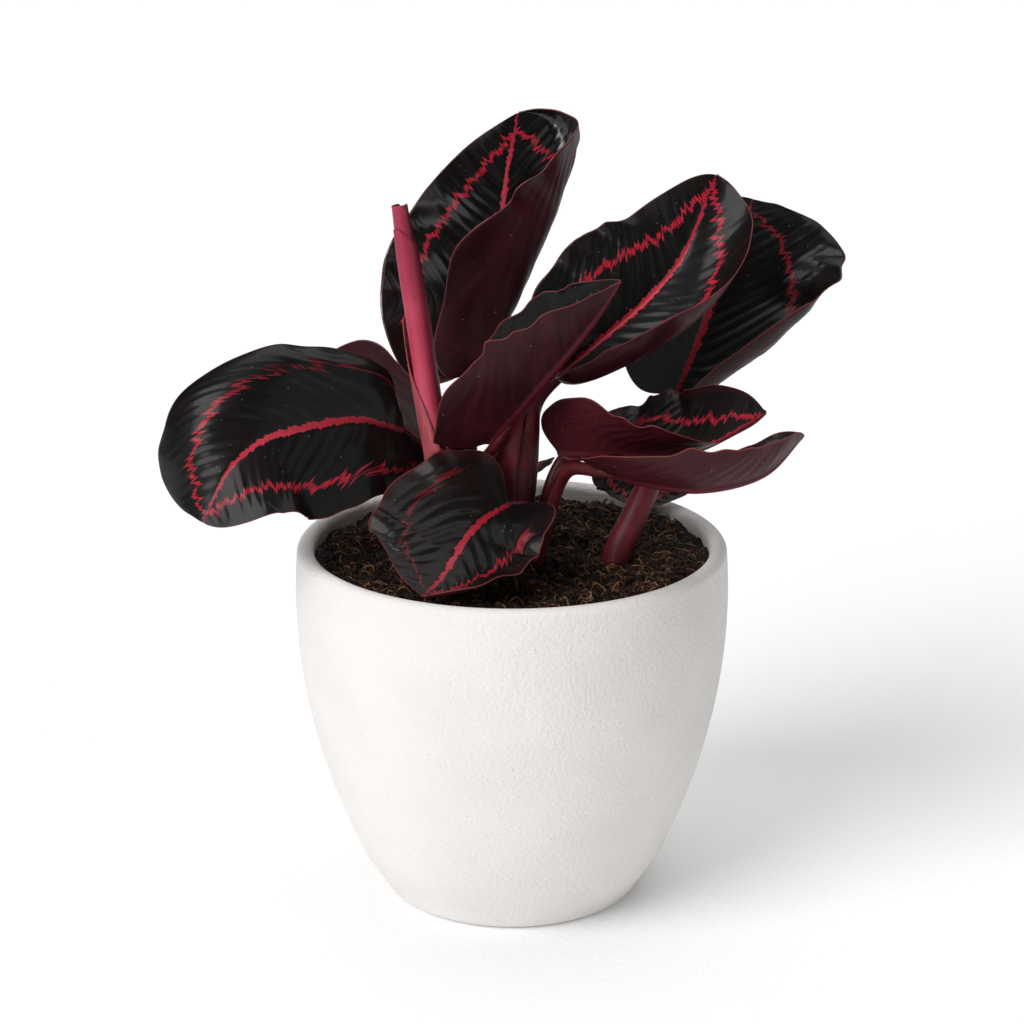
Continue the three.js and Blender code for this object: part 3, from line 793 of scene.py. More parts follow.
def pot_profile():
    """The pot's section as (radius, height) in millimetres, from its foot's middle up, over and in."""
    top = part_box("pot")[1]
    height, widest = top.z / MM, top.x / MM
    lip_height = height - POT["lip_radius"]
    lip_centre = pot_wall_radius(lip_height, widest) - POT["lip_radius"]
    floor_radius = pot_wall_radius(POT["floor"], widest) - POT["wall"]
    wall = [14 + (POT["widest_height"] - 14) * k / 60 for k in range(61)]
    profile = [(0, 0), (POT["foot_radius"] * 0.5, 0), (POT["foot_radius"], 0)]
    profile += arc_points(POT["foot_radius"] + 1, POT["foot_round"], POT["foot_round"], -75, -18, 8)
    profile += [(pot_wall_radius(z, widest), z) for z in wall]
    profile += [(pot_wall_radius(z, widest), z) for z in (112, 116, 120)]
    profile += arc_points(lip_centre, lip_height, POT["lip_radius"], 0, 180, 16)
    inside = [(pot_wall_radius(z, widest) - POT["wall"], z) for z in wall[5:]]
    profile += reversed(inside)
    profile += [(floor_radius - 1, POT["floor"] + 6), (floor_radius - 8, POT["floor"]), (0, POT["floor"])]
    return profile


def mix_height(x, y):
    """The level of the potting mix in millimetres, in soft lumps."""
    lumps = math.sin(x / 7.1) * math.cos(y / 6.3 + 1) + 0.6 * math.sin((x + 2 * y) / 9.7 + 2)
    return MIX["height"] + MIX["lump"] * lumps


def mix_surface(x, y, seed):
    """The mix's level with its crumbs, in millimetres."""
    place = Vector((x, y, seed))
    crumbs = 1.6 * noise.noise(place / 4.5) + 0.9 * noise.noise(place / 1.9) + 0.3 * noise.noise(place / 0.8)
    return mix_height(x, y) + crumbs


# ------------------------------------------------------------------ materials
def kept_facts(tree, names):
    """The values that a piece keeps on its vertices, by name."""
    return {name: add_node(tree, "Attribute", output="Fac", attribute_name=name) for name in names}


def round_space(tree, width, length):
    """A space in which a pattern runs along a stem, with features of this width and length."""
    fact = kept_facts(tree, ("run", "round_x", "round_y"))
    around = add_node(tree, "CombineXYZ", {"X": fact["round_x"], "Y": fact["round_y"], "Z": fact["run"]})
    scale = (1 / width, 1 / width, 1 / length)
    return add_node(tree, "VectorMath", {0: around, 1: scale}, operation="MULTIPLY")


def blade_space(tree, fact, across, along_veins):
    """A space in which a pattern runs along the side veins, with features of these sizes."""
    place = add_node(tree, "CombineXYZ", {"X": fact["vein"], "Y": fact["rib"]})
    scale = (1 / across, 1 / along_veins, 1)
    return add_node(tree, "VectorMath", {0: place, 1: scale}, operation="MULTIPLY")


def feathered(tree, distance, vein, tooth, reach, wander):
    """A distance made ragged: pointed teeth along the side veins, each as wide as tooth and up to reach long,
    on a line that wanders."""
    number = add_node(tree, "Math", {0: vein, 1: tooth}, operation="DIVIDE")
    whole = add_node(tree, "Math", {0: number}, operation="FLOOR")
    chance = add_node(tree, "TexWhiteNoise", {"W": whole}, noise_dimensions="1D")
    length = add_node(tree, "MapRange", {"Value": chance, "To Min": -2 * reach, "To Max": 2 * reach})
    point = add_node(tree, "Math", {0: number, 1: 0.5}, operation="PINGPONG")
    line = add_node(tree, "TexNoise", {"W": vein, "Scale": 1 / 5.5, "Detail": 2.0}, noise_dimensions="1D")
    ends = {"From Min": 0.25, "From Max": 0.75, "To Min": -wander, "To Max": wander}
    swing = add_node(tree, "MapRange", {"Value": line, **ends})
    moved = add_node(tree, "Math", {0: point, 1: length, 2: distance}, operation="MULTIPLY_ADD")
    return add_node(tree, "Math", {0: moved, 1: swing}, operation="ADD")


def leaf_upper_material(name, settings, dullness, gloss):
    # Living leaf, upper side: a waxy cuticle over near-black green. It is satin, with grey highlights broken
    # into streaks by the side veins, and its pink pigment ends in ragged teeth between those veins.
    material, tree = new_material(name)
    fact = kept_facts(tree, BLADE_FACTS)
    pink, margin = (*settings.pink, 1), (*settings.margin, 1)
    place = add_node(tree, "TexCoord", output="Object")
    veins = add_node(
        tree, "TexNoise", {"Vector": blade_space(tree, fact, 0.9, 16), "Scale": 1.0, "Detail": 3.0}
    )
    stripes = add_node(
        tree, "TexNoise", {"Vector": blade_space(tree, fact, 4.5, 26), "Scale": 1.0, "Detail": 2.0}
    )
    relief = add_node(
        tree, "TexNoise", {"Vector": blade_space(tree, fact, 2.2, 30), "Scale": 1.0, "Detail": 2.0}
    )
    patches = add_node(tree, "TexNoise", {"Vector": place, "Scale": per_mm(16), "Detail": 3.0})
    specks = add_node(tree, "TexVoronoi", {"Vector": place, "Scale": per_mm(3.4)})
    ground = add_node(
        tree, "ValToRGB", {"Fac": veins}, stops=[(0.3, "050303"), (0.6, "080606"), (0.85, "11110f")]
    )
    # Wine red spreads in patches from the margin.
    near_margin = add_node(
        tree, "MapRange", {"Value": fact["margin"], "From Max": 5.0, "To Min": 1.2, "To Max": 0.1}
    )
    blush_share = add_node(tree, "Math", {0: fact["blush_and_painted_light"], 1: patches}, operation="MULTIPLY")
    blush_mask = add_node(tree, "Math", {0: blush_share, 1: near_margin}, operation="MULTIPLY")
    # The ring's line is ragged, wider on some veins than on others, and thinner where it hardly shows.
    ring_line = feathered(tree, fact["ring"], fact["vein"], settings.mm("tooth"), 2.3, 1.4)
    ring_from_line = add_node(tree, "Math", {0: ring_line}, operation="ABSOLUTE")
    ends = {"From Min": 0.3, "From Max": 0.7, "To Min": -0.35, "To Max": 0.25}
    ring_width = add_node(tree, "MapRange", {"Value": stripes, **ends})
    ring_loss = add_node(tree, "Math", {0: fact["shown"], 1: -0.7, 2: 0.7}, operation="MULTIPLY_ADD")
    thinned = add_node(tree, "Math", {0: ring_width, 1: ring_loss}, operation="ADD")
    ring_distance = add_node(tree, "Math", {0: ring_from_line, 1: thinned}, operation="ADD")
    ring_reach = settings.mm("ring_width") / 2
    ring_edge = add_node(
        tree, "MapRange", {"Value": ring_distance, "From Min": ring_reach + 0.3, "From Max": ring_reach}
    )
    ring_mask = add_node(tree, "Math", {0: ring_edge, 1: fact["shown"]}, operation="MULTIPLY")
    ring = add_node(tree, "ValToRGB", {"Fac": veins}, stops=[(0.3, "6c0f1c"), (0.5, pink), (0.8, "c43046")])
    # The midrib's band is ragged too, and brightest in the middle of the leaf.
    streak = feathered(tree, fact["streak"], fact["vein"], settings.mm("tooth") * 1.3, 0.7, 0.2)
    deep_midrib = add_node(tree, "Math", {0: fact["deep"], 1: 0.8}, operation="MULTIPLY")
    midrib = add_node(
        tree,
        "ValToRGB",
        {"Fac": fact["rise"]},
        stops=[(0.02, "5c101c"), (0.3, pink), (0.6, "c93a4c"), (0.95, "96182c")],
    )
    layers = [
        ((stripes, 0.5, 0.72, 0.6), "0f110f"),
        ((patches, 0.52, 0.72, 0.7), "150b08"),
        (blush_mask, "3c1015"),
        (ring_mask, layered(tree, ring, [(fact["deep"], "67101b")])),
        ((streak, 0.2, 0, 1), layered(tree, midrib, [(deep_midrib, "7d1420")])),
        ((specks, 0.05, 0.03, 1), "8d8078"),
        ((fact["margin"], 0.4, 0.2, 1), margin),
    ]
    roughness = add_node(
        tree, "MapRange", {"Value": stripes, "To Min": dullness - 0.12, "To Max": dullness + 0.12}
    )
    height = add_node(tree, "MapRange", {"Value": relief, "To Min": 0, "To Max": 0.16})
    shine = {"IOR": 1.45, "Specular IOR Level": gloss, "Coat Weight": gloss, "Coat Roughness": 0.16}
    add_surface(tree, layered(tree, ground, layers), roughness, height, shine)
    return material


def leaf_underside_material(settings):
    # Living leaf, underside: the same leaf without the wax, dark burgundy with a soft satin look. The side
    # veins show as fine curved lines, darker than the tissue between them. A half's blush makes it redder and
    # lighter, partly real redness and partly painted light that lifts the undersides which face down.
    material, tree = new_material("leaf_underside_burgundy")
    fact = kept_facts(tree, BLADE_FACTS)
    burgundy, margin = (*settings.burgundy, 1), (*settings.margin, 1)
    place = add_node(tree, "TexCoord", output="Object")
    veins = add_node(
        tree, "TexNoise", {"Vector": blade_space(tree, fact, 1.1, 20), "Scale": 1.0, "Detail": 3.0}
    )
    clouds = add_node(
        tree, "TexNoise", {"Vector": blade_space(tree, fact, 9, 22), "Scale": 1.0, "Detail": 3.0}
    )
    specks = add_node(tree, "TexVoronoi", {"Vector": place, "Scale": per_mm(4.2)})
    tissue = add_node(
        tree, "ValToRGB", {"Fac": clouds}, stops=[(0.25, "16050a"), (0.5, burgundy), (0.8, "451420")]
    )
    line_number = add_node(tree, "Math", {0: fact["vein"], 1: 1.7}, operation="DIVIDE")
    line_distance = add_node(tree, "Math", {0: line_number, 1: 0.5}, operation="PINGPONG")
    layers = [
        # Partly painted light: a redder, lighter burgundy by the half's blush, which also lifts down-facing
        # undersides.
        (fact["blush_and_painted_light"], "4c1a22"),
        ((veins, 0.5, 0.75, 0.25), "1c050b"),
        ((line_distance, 0.14, 0, 0.6), "1c050b"),
        ((fact["rib"], 1.5, 0.9, 1), "4d111d"),
        ((specks, 0.05, 0.03, 1), "a07a76"),
        ((fact["margin"], 0.4, 0.2, 1), margin),
    ]
    roughness = add_node(tree, "MapRange", {"Value": veins, "To Min": 0.36, "To Max": 0.52})
    height = add_node(tree, "MapRange", {"Value": veins, "To Min": 0, "To Max": 0.07})
    shine = {"IOR": 1.42, "Specular IOR Level": 0.22}
    add_surface(tree, layered(tree, tissue, layers), roughness, height, shine)
    return material


def stem_material(name, dark, light, scars=0.0):
    # Living stem or sheath: a smooth skin over long fibres, so it is satin with fine streaks along its
    # length, mottled from dark wine to crimson. Old leaves left thin dark scars round it, this strong.
    material, tree = new_material(name)
    fibres = add_node(
        tree, "TexNoise", {"Vector": round_space(tree, 0.45, 16), "Scale": 1.0, "Detail": 3.0}
    )
    mottle = add_node(tree, "TexNoise", {"Vector": round_space(tree, 4, 11), "Scale": 1.0, "Detail": 2.0})
    mixed = add_node(tree, "Math", {0: fibres, 1: mottle}, operation="ADD")
    halved = add_node(tree, "Math", {0: mixed, 1: 0.5}, operation="MULTIPLY")
    skin = add_node(tree, "ValToRGB", {"Fac": halved}, stops=[(0.3, dark), (0.7, light)])
    run = kept_facts(tree, ["run"])["run"]
    scar_number = add_node(tree, "Math", {0: run, 1: 13.0}, operation="DIVIDE")
    scar_distance = add_node(tree, "Math", {0: scar_number, 1: 0.5}, operation="PINGPONG")
    colour = layered(tree, skin, [((scar_distance, 0.035, 0, scars), "3a1513")])
    roughness = add_node(tree, "MapRange", {"Value": mottle, "To Min": 0.36, "To Max": 0.54})
    height = add_node(tree, "MapRange", {"Value": fibres, "To Min": 0, "To Max": 0.07})
    add_surface(tree, colour, roughness, height, {"IOR": 1.43, "Specular IOR Level": 0.3})
    return material


def new_leaf_material():
    # A leaf still rolled up shows its pale pink underside, ribbed by side veins that run aslant round the
    # roll. It is young and full of water, so it is satin and even. Its right side, away from the key light, is
    # darkened with painted shade.
    material, tree = new_material("new_leaf_pink")
    run, turn, painted_shade = kept_facts(tree, ("run", "turn", "painted_shade")).values()
    slant = add_node(tree, "Math", {0: turn, 1: 1.15, 2: run}, operation="MULTIPLY_ADD")
    counter = add_node(tree, "Math", {0: turn, 1: -1.5, 2: run}, operation="MULTIPLY_ADD")
    lines = add_node(tree, "TexNoise", {"W": slant, "Scale": 1 / 0.8, "Detail": 2.0}, noise_dimensions="1D")
    cross_lines = add_node(
        tree, "TexNoise", {"W": counter, "Scale": 1 / 1.3, "Detail": 2.0}, noise_dimensions="1D"
    )
    place = add_node(tree, "TexCoord", output="Object")
    bloom = add_node(tree, "TexNoise", {"Vector": place, "Scale": per_mm(14), "Detail": 2.0})
    rise = add_node(tree, "MapRange", {"Value": run, "From Max": ROLL["length"]})
    pink = add_node(
        tree,
        "ValToRGB",
        {"Fac": rise},
        stops=[(0.0, "cc5a66"), (0.25, "c2425a"), (0.6, "a92a46"), (0.9, "941f3e")],
    )
    # Painted shade: the roll's colour darkens on its side away from the key light.
    painted_shade_mask = add_node(tree, "Math", {0: painted_shade, 1: 0.8}, operation="MULTIPLY")
    layers = [
        ((bloom, 0.45, 0.7, 0.35), "c84e66"),
        ((lines, 0.5, 0.75, 0.35), "86203a"),
        ((cross_lines, 0.52, 0.8, 0.14), "86203a"),
        (painted_shade_mask, "3c0814"),
    ]
    roughness = add_node(tree, "MapRange", {"Value": bloom, "To Min": 0.3, "To Max": 0.45})
    height = add_node(tree, "MapRange", {"Value": lines, "To Min": 0, "To Max": 0.12})
    add_surface(tree, layered(tree, pink, layers), roughness, height, {"IOR": 1.43})
    return material


def pot_material(settings):
    # Stoneware dipped in a matt white glaze with fine grit in it: it is dead matt, slightly warm, with a fine
    # orange-peel grain and a few tiny pits.
    material, tree = new_material("stoneware_matt_white_glaze")
    place = add_node(tree, "TexCoord", output="Object")
    peel = add_node(tree, "TexNoise", {"Vector": place, "Scale": per_mm(1.3), "Detail": 2.0})
    grit = add_node(tree, "TexNoise", {"Vector": place, "Scale": per_mm(0.5), "Detail": 2.0})
    tone = add_node(tree, "TexNoise", {"Vector": place, "Scale": per_mm(30), "Detail": 2.0})
    pits = add_node(tree, "TexVoronoi", {"Vector": place, "Scale": per_mm(7)})
    white = add_node(
        tree, "ValToRGB", {"Fac": tone}, stops=[(0.3, (*settings.glaze, 1)), (0.7, "e5e2df")]
    )
    colour = layered(tree, white, [((pits, 0.045, 0.025, 1), "b9b0a8")])
    roughness = add_node(tree, "MapRange", {"Value": grit, "To Min": 0.72, "To Max": 0.9})
    grit_height = add_node(tree, "Math", {0: grit, 1: 0.1}, operation="MULTIPLY")
    height = add_node(tree, "Math", {0: peel, 1: 0.4, 2: grit_height}, operation="MULTIPLY_ADD")
    add_surface(tree, colour, roughness, height, {"IOR": 1.5})
    return material


def mix_material(name, dark, light, grain, smoothest=0.65):
    # Potting mix of coir and composted bark: damp and crumbly, from near black to brown, matt on its crumbs
    # and with a wet gleam on its fibres.
    material, tree = new_material(name)
    place = add_node(tree, "TexCoord", output="Object")
    crumbs = add_node(
        tree, "TexNoise", {"Vector": place, "Scale": per_mm(grain), "Detail": 4.0, "Roughness": 0.65}
    )
    colour = add_node(tree, "ValToRGB", {"Fac": crumbs}, stops=[(0.36, dark), (0.68, light)])
    roughness = add_node(tree, "MapRange", {"Value": crumbs, "To Min": smoothest, "To Max": 0.95})
    height = add_node(tree, "Math", {0: crumbs, 1: 0.6}, operation="MULTIPLY")
    add_surface(tree, colour, roughness, height, {"IOR": 1.4})
    return material


# ------------------------------------------------------------------ settings
def length_property(name, millimetres, description):
    return FloatProperty(name=name, default=millimetres * MM, min=0, unit="LENGTH", description=description)


def colour_property(name, hex_colour, description):
    return FloatVectorProperty(
        name=name,
        default=linear(hex_colour)[:3],
        size=3,
        min=0,
        max=1,
        subtype="COLOR",
        description=description,
    )


class CalatheaSettings:
    """What every group of settings shares."""

    def mm(self, name):
        """A length of this group in millimetres."""
        return getattr(self, name) / MM


class CalatheaLeafSettings(CalatheaSettings, bpy.types.PropertyGroup):
    thickness: length_property("Thickness", 0.5, "Thickness of a blade away from its margin and midrib")
    pleat_spacing: length_property("Pleat spacing", 5.5, "Distance between the folds along the side veins")
    pleat_height: length_property("Pleat height", 0.26, "Height of the folds along the side veins")
    dent_height: length_property("Dent height", 0.5, "Height of the blade's soft dents")
    ruffle_height: length_property("Ruffle height", 0.55, "Height of the fine waves of the margin")
    scallop_depth: length_property("Scallop depth", 0.8, "How far a margin swings in and out")
    scallops: IntProperty(name="Scallops", default=5, min=0, description="Number of swings of a margin")
    ruffles: IntProperty(name="Ruffles", default=7, min=0, description="Number of fine waves along a margin")
    rib_band: length_property("Midrib band", 1.35, "Half width of the pink band on the midrib at the stem")
    tooth: length_property("Tooth width", 1.25, "Width of one tooth of the pink markings")
    ring_width: length_property("Ring width", 1.6, "Width of the pink ring's line")
    pink: colour_property("Pink", "a61c2f", "Colour of the ring and the midrib")
    burgundy: colour_property("Burgundy", "2c0b11", "Colour of the underside")
    margin: colour_property("Margin", "6c3030", "Colour of the thin line along the margin")


class CalatheaStemSettings(CalatheaSettings, bpy.types.PropertyGroup):
    dark: colour_property("Dark", "1c0709", "Darkest colour of the stems")
    light: colour_property("Light", "5e1a22", "Lightest colour of the stems")
    sheath: colour_property("Sheath", "b45a60", "Lightest colour of the new leaf's sheath")


class CalatheaPotSettings(CalatheaSettings, bpy.types.PropertyGroup):
    glaze: colour_property("Glaze", "dfdcda", "Colour of the pot's matt glaze")
    steps: IntProperty(name="Steps", default=160, min=32, description="Steps of the pot's turned form")


class CalatheaMixSettings(CalatheaSettings, bpy.types.PropertyGroup):
    fibres: IntProperty(name="Fibres", default=4200, min=0, description="Number of coir fibres on the mix")
    fibre_length: length_property("Fibre length", 6, "Mean length of a coir fibre")
    fibre_radius: length_property("Fibre radius", 0.19, "Radius of a coir fibre")
    crumbs: IntProperty(name="Crumbs", default=900, min=0, description="Number of loose crumbs on the mix")
    chips: IntProperty(name="Chips", default=60, min=0, description="Number of bark chips on the mix")
    seed: IntProperty(name="Seed", default=7, description="Seed for the places of fibres, crumbs and chips")


class CalatheaStageSettings(CalatheaSettings, bpy.types.PropertyGroup):
    floor_size: FloatProperty(
        name="Floor size", default=12, min=1, unit="LENGTH", description="Side of the square floor"
    )
    key: FloatProperty(name="Key light", default=2.4, min=0, description="Light from the front left, W/m2")
    fill: FloatProperty(name="Fill light", default=0.5, min=0, description="Light from the right, W/m2")
    strip: FloatProperty(name="Strip light", default=0.35, min=0, description="Low narrow light, W/m2")
    top: FloatProperty(name="Top light", default=1.5, min=0, description="Light from above and behind, W/m2")
    sky: FloatProperty(name="Sky", default=0.04, min=0, description="Strength of the even white surroundings")


# ------------------------------------------------------------------ operators
class CALATHEA_OT_pot(bpy.types.Operator):
    """Turn the stoneware pot"""

    bl_idname = "calathea.pot"
    bl_label = "Pot"

    def execute(self, context):
        settings = context.scene.calathea_pot
        bm = bmesh.new()
        profile = [bm.verts.new(Vector((r, 0, z)) * MM) for r, z in pot_profile()]
        edges = [bm.edges.new(pair) for pair in zip(profile, profile[1:])]
        bmesh.ops.spin(
            bm,
            geom=profile + edges,
            cent=(0, 0, 0),
            axis=(0, 0, 1),
            angle=2 * math.pi,
            steps=settings.steps,
            use_merge=True,
        )
        bmesh.ops.remove_doubles(bm, verts=bm.verts, dist=1e-6)
        bmesh.ops.recalc_face_normals(bm, faces=bm.faces)
        add_piece("pot_glazed", bm, [pot_material(settings)], ["pot"])
        return {"FINISHED"}


class CALATHEA_OT_mix(bpy.types.Operator):
    """Fill the pot with potting mix"""

    bl_idname = "calathea.mix"
    bl_label = "Potting mix"

    def execute(self, context):
        settings = context.scene.calathea_mix
        bm = bmesh.new()
        grid = bmesh.ops.create_grid(bm, x_segments=170, y_segments=170, size=1)
        for vertex in grid["verts"]:  # the square's corners are drawn in, so that it fills the round pot
            x, y = vertex.co.x, vertex.co.y
            across = MIX_RADIUS * x * math.sqrt(1 - y * y / 2)
            forward = MIX_RADIUS * y * math.sqrt(1 - x * x / 2)
            vertex.co = Vector((across, forward, mix_surface(across, forward, settings.seed))) * MM
        rim = [edge for edge in bm.edges if edge.is_boundary]
        wall = bmesh.ops.extrude_edge_only(bm, edges=rim)["geom"]
        for vertex in [item for item in wall if isinstance(item, bmesh.types.BMVert)]:
            vertex.co.z = (MIX["height"] - MIX["depth"]) * MM
            vertex.co.xy *= 0.97
        bottom = [edge for edge in wall if isinstance(edge, bmesh.types.BMEdge) and edge.is_boundary]
        bmesh.ops.holes_fill(bm, edges=bottom, sides=0)
        bmesh.ops.recalc_face_normals(bm, faces=bm.faces)
        damp = mix_material("potting_mix_damp", "020101", "120a06", 1.6)
        add_piece("mix_ground", bm, [damp], ["potting_mix"])
        return {"FINISHED"}


class CALATHEA_OT_fibres(bpy.types.Operator):
    """Lay coir fibres on the mix"""

    bl_idname = "calathea.fibres"
    bl_label = "Coir fibres"

    def execute(self, context):
        settings = context.scene.calathea_mix
        dice = random.Random(settings.seed)
        # Each kind has a name, its darkest and lightest colour and its share of the fibres.
        kinds = [
            ("fibres_golden", "4a2a16", "a87850", 0.2),
            ("fibres_brown", "0e0704", "442815", 0.8),
        ]
        for name, dark, light, share in kinds:
            curve = bpy.data.curves.new(name, "CURVE")
            curve.dimensions = "3D"
            curve.bevel_depth = settings.fibre_radius
            curve.bevel_resolution = 0
            for _ in range(int(settings.fibres * share)):
                self.lay(curve, dice, settings)
            lines = bpy.data.objects.new(name, curve)
            context.scene.collection.objects.link(lines)
            mesh = bpy.data.meshes.new_from_object(lines.evaluated_get(context.evaluated_depsgraph_get()))
            bm = bmesh.new()
            bm.from_mesh(mesh)
            bpy.data.meshes.remove(mesh)
            bpy.data.curves.remove(curve)
            add_piece(name, bm, [mix_material(f"coir_{name}", dark, light, 5, 0.38)], [])
        return {"FINISHED"}

    def lay(self, curve, dice, settings):
        """Adds one curly fibre that lies on the mix, bowed up in its middle."""
        points = 8
        reach = (MIX_RADIUS - 3) * math.sqrt(dice.random())
        angle = dice.uniform(0, 2 * math.pi)
        x, y = reach * math.cos(angle), reach * math.sin(angle)
        length = settings.mm("fibre_length") * dice.uniform(0.5, 1.5)
        heading = dice.uniform(0, 2 * math.pi)
        curl = dice.gauss(0, 3.6) / (points - 1)
        lift = abs(dice.gauss(0, 0.9))
        spline = curve.splines.new("POLY")
        spline.points.add(points - 1)
        for k, point in enumerate(spline.points):
            share = k / (points - 1)
            distance = math.hypot(x, y)
            if distance > MIX_RADIUS - 1.5:
                x *= (MIX_RADIUS - 1.5) / distance
                y *= (MIX_RADIUS - 1.5) / distance
            z = mix_surface(x, y, settings.seed) + 0.15 + lift * math.sin(math.pi * share)
            point.co = (x * MM, y * MM, z * MM, 1)
            point.radius = 0.45 + 0.75 * math.sin(math.pi * share) ** 0.5
            heading += curl * dice.uniform(0.6, 1.4)
            x += math.cos(heading) * length / (points - 1)
            y += math.sin(heading) * length / (points - 1)


class CALATHEA_OT_crumbs(bpy.types.Operator):
    """Scatter crumbs and bark chips on the mix"""

    bl_idname = "calathea.crumbs"
    bl_label = "Crumbs and chips"

    def execute(self, context):
        settings = context.scene.calathea_mix
        dice = random.Random(settings.seed + 1)
        bm = bmesh.new()
        for _ in range(settings.crumbs):
            self.drop(bm, dice, settings, dice.uniform(0.5, 1.9), (1, 0.8, 0.65), 0)
        for _ in range(settings.chips):
            self.drop(bm, dice, settings, dice.uniform(1.6, 4.2), (1, 0.55, 0.24), 1)
        materials = [
            mix_material("bark_crumbs_dark", "060302", "22140a", 1.2),
            mix_material("bark_chips_light", "1c100a", "5c3c22", 2.5),
        ]
        add_piece("mix_crumbs", bm, materials, [])
        return {"FINISHED"}

    def drop(self, bm, dice, settings, radius, shape, material_index):
        """Adds one crumb, an uneven ball flattened to a shape and turned at random, that sits on the mix."""
        reach = (MIX_RADIUS - 5) * math.sqrt(dice.random())
        angle = dice.uniform(0, 2 * math.pi)
        x, y = reach * math.cos(angle), reach * math.sin(angle)
        z = mix_surface(x, y, settings.seed) + 0.3 * radius * shape[2]
        turn = Matrix.Rotation(dice.uniform(0, 2 * math.pi), 4, "Z") @ Matrix.Rotation(
            dice.uniform(-0.5, 0.5), 4, "X"
        )
        stretch = Matrix.Diagonal((*(s * radius * MM for s in shape), 1))
        ball = bmesh.ops.create_icosphere(
            bm,
            subdivisions=1,
            radius=1,
            matrix=Matrix.Translation(Vector((x, y, z)) * MM) @ turn @ stretch,
        )
        for vertex in ball["verts"]:
            vertex.co += Vector([dice.uniform(-0.22, 0.22) * radius * MM for _ in range(3)])
            for face in vertex.link_faces:
                face.material_index = material_index


class CALATHEA_OT_stems(bpy.types.Operator):
    """Grow the leaves' stems"""

    bl_idname = "calathea.stems"
    bl_label = "Stems"

    def execute(self, context):
        settings = context.scene.calathea_stem
        plain = stem_material("stem_wine_skin", (*settings.dark, 1), (*settings.light, 1))
        scarred = stem_material("stem_scarred_skin", "380e14", "74242d", 0.5)
        crimson = stem_material("sheath_crimson_skin", "2c070d", "6e1c28")
        for number, (name, leaf) in enumerate(LEAVES.items()):
            kinds = {"right": [scarred], "centre": [plain, crimson]}.get(name, [plain])
            build_stem(name, leaf, kinds, 3.7 * number)
        return {"FINISHED"}


class CALATHEA_OT_new_leaf(bpy.types.Operator):
    """Roll the new leaf and its sheath"""

    bl_idname = "calathea.new_leaf"
    bl_label = "New leaf"

    def execute(self, context):
        stems = context.scene.calathea_stem
        rows, columns = ROLL_GRID
        outer = roll_rows()
        inner = moved_rows(outer, sheet_normals(outer), lambda r, c: -ROLL["thickness"])
        turns = [ROLL["turns"] * c / columns for c in range(columns + 1)]
        facts = {
            "run": [[ROLL["length"] * r / rows] * (columns + 1) for r in range(rows + 1)],
            "turn": [[ROLL["girth"] * turned for turned in turns]] * (rows + 1),
            # Painted shade for the side of the roll away from the key light.
            "painted_shade": [[painted_shade_round_roll(turned) for turned in turns]] * (rows + 1),
        }
        bm = bmesh.new()
        add_sheet(bm, outer, inner, facts)
        pink = new_leaf_material()
        inside = stem_material("new_leaf_inside_green", "120d06", "3a2c14")
        add_piece("new_leaf_sheet", bm, [pink, inside], ["new_leaf_roll"])

        rings = tube_rings(ROLL["stem"], *SHEATH_GRID, lambda t, turn: 1)
        bm = bmesh.new()
        add_tube(bm, rings, round_facts(ROLL["stem"], rings))
        for number, wing in enumerate(WINGS["new_leaf"]):
            add_wing(bm, wing, number)
        skins = [
            stem_material("new_leaf_sheath_skin", "7c2a38", (*stems.sheath, 1)),
            stem_material("new_leaf_old_sheath_skin", "3a0a12", "7a1c2c"),
        ]
        add_piece("new_leaf_sheath", bm, skins, ["new_leaf_stem"])
        return {"FINISHED"}


class CALATHEA_OT_blades(bpy.types.Operator):
    """Unfold the leaves' blades"""

    bl_idname = "calathea.blades"
    bl_label = "Leaf blades"

    def execute(self, context):
        settings = context.scene.calathea_leaf
        satin = leaf_upper_material("leaf_upper_satin", settings, 0.46, 0.16)
        polished = leaf_upper_material("leaf_upper_polished", settings, 0.24, 0.5)
        underside = leaf_underside_material(settings)
        for number, (name, leaf) in enumerate(LEAVES.items()):
            upper = polished if name == "tall" else satin
            build_blade(name, leaf, settings, [upper, underside], 5.3 * number)
        return {"FINISHED"}


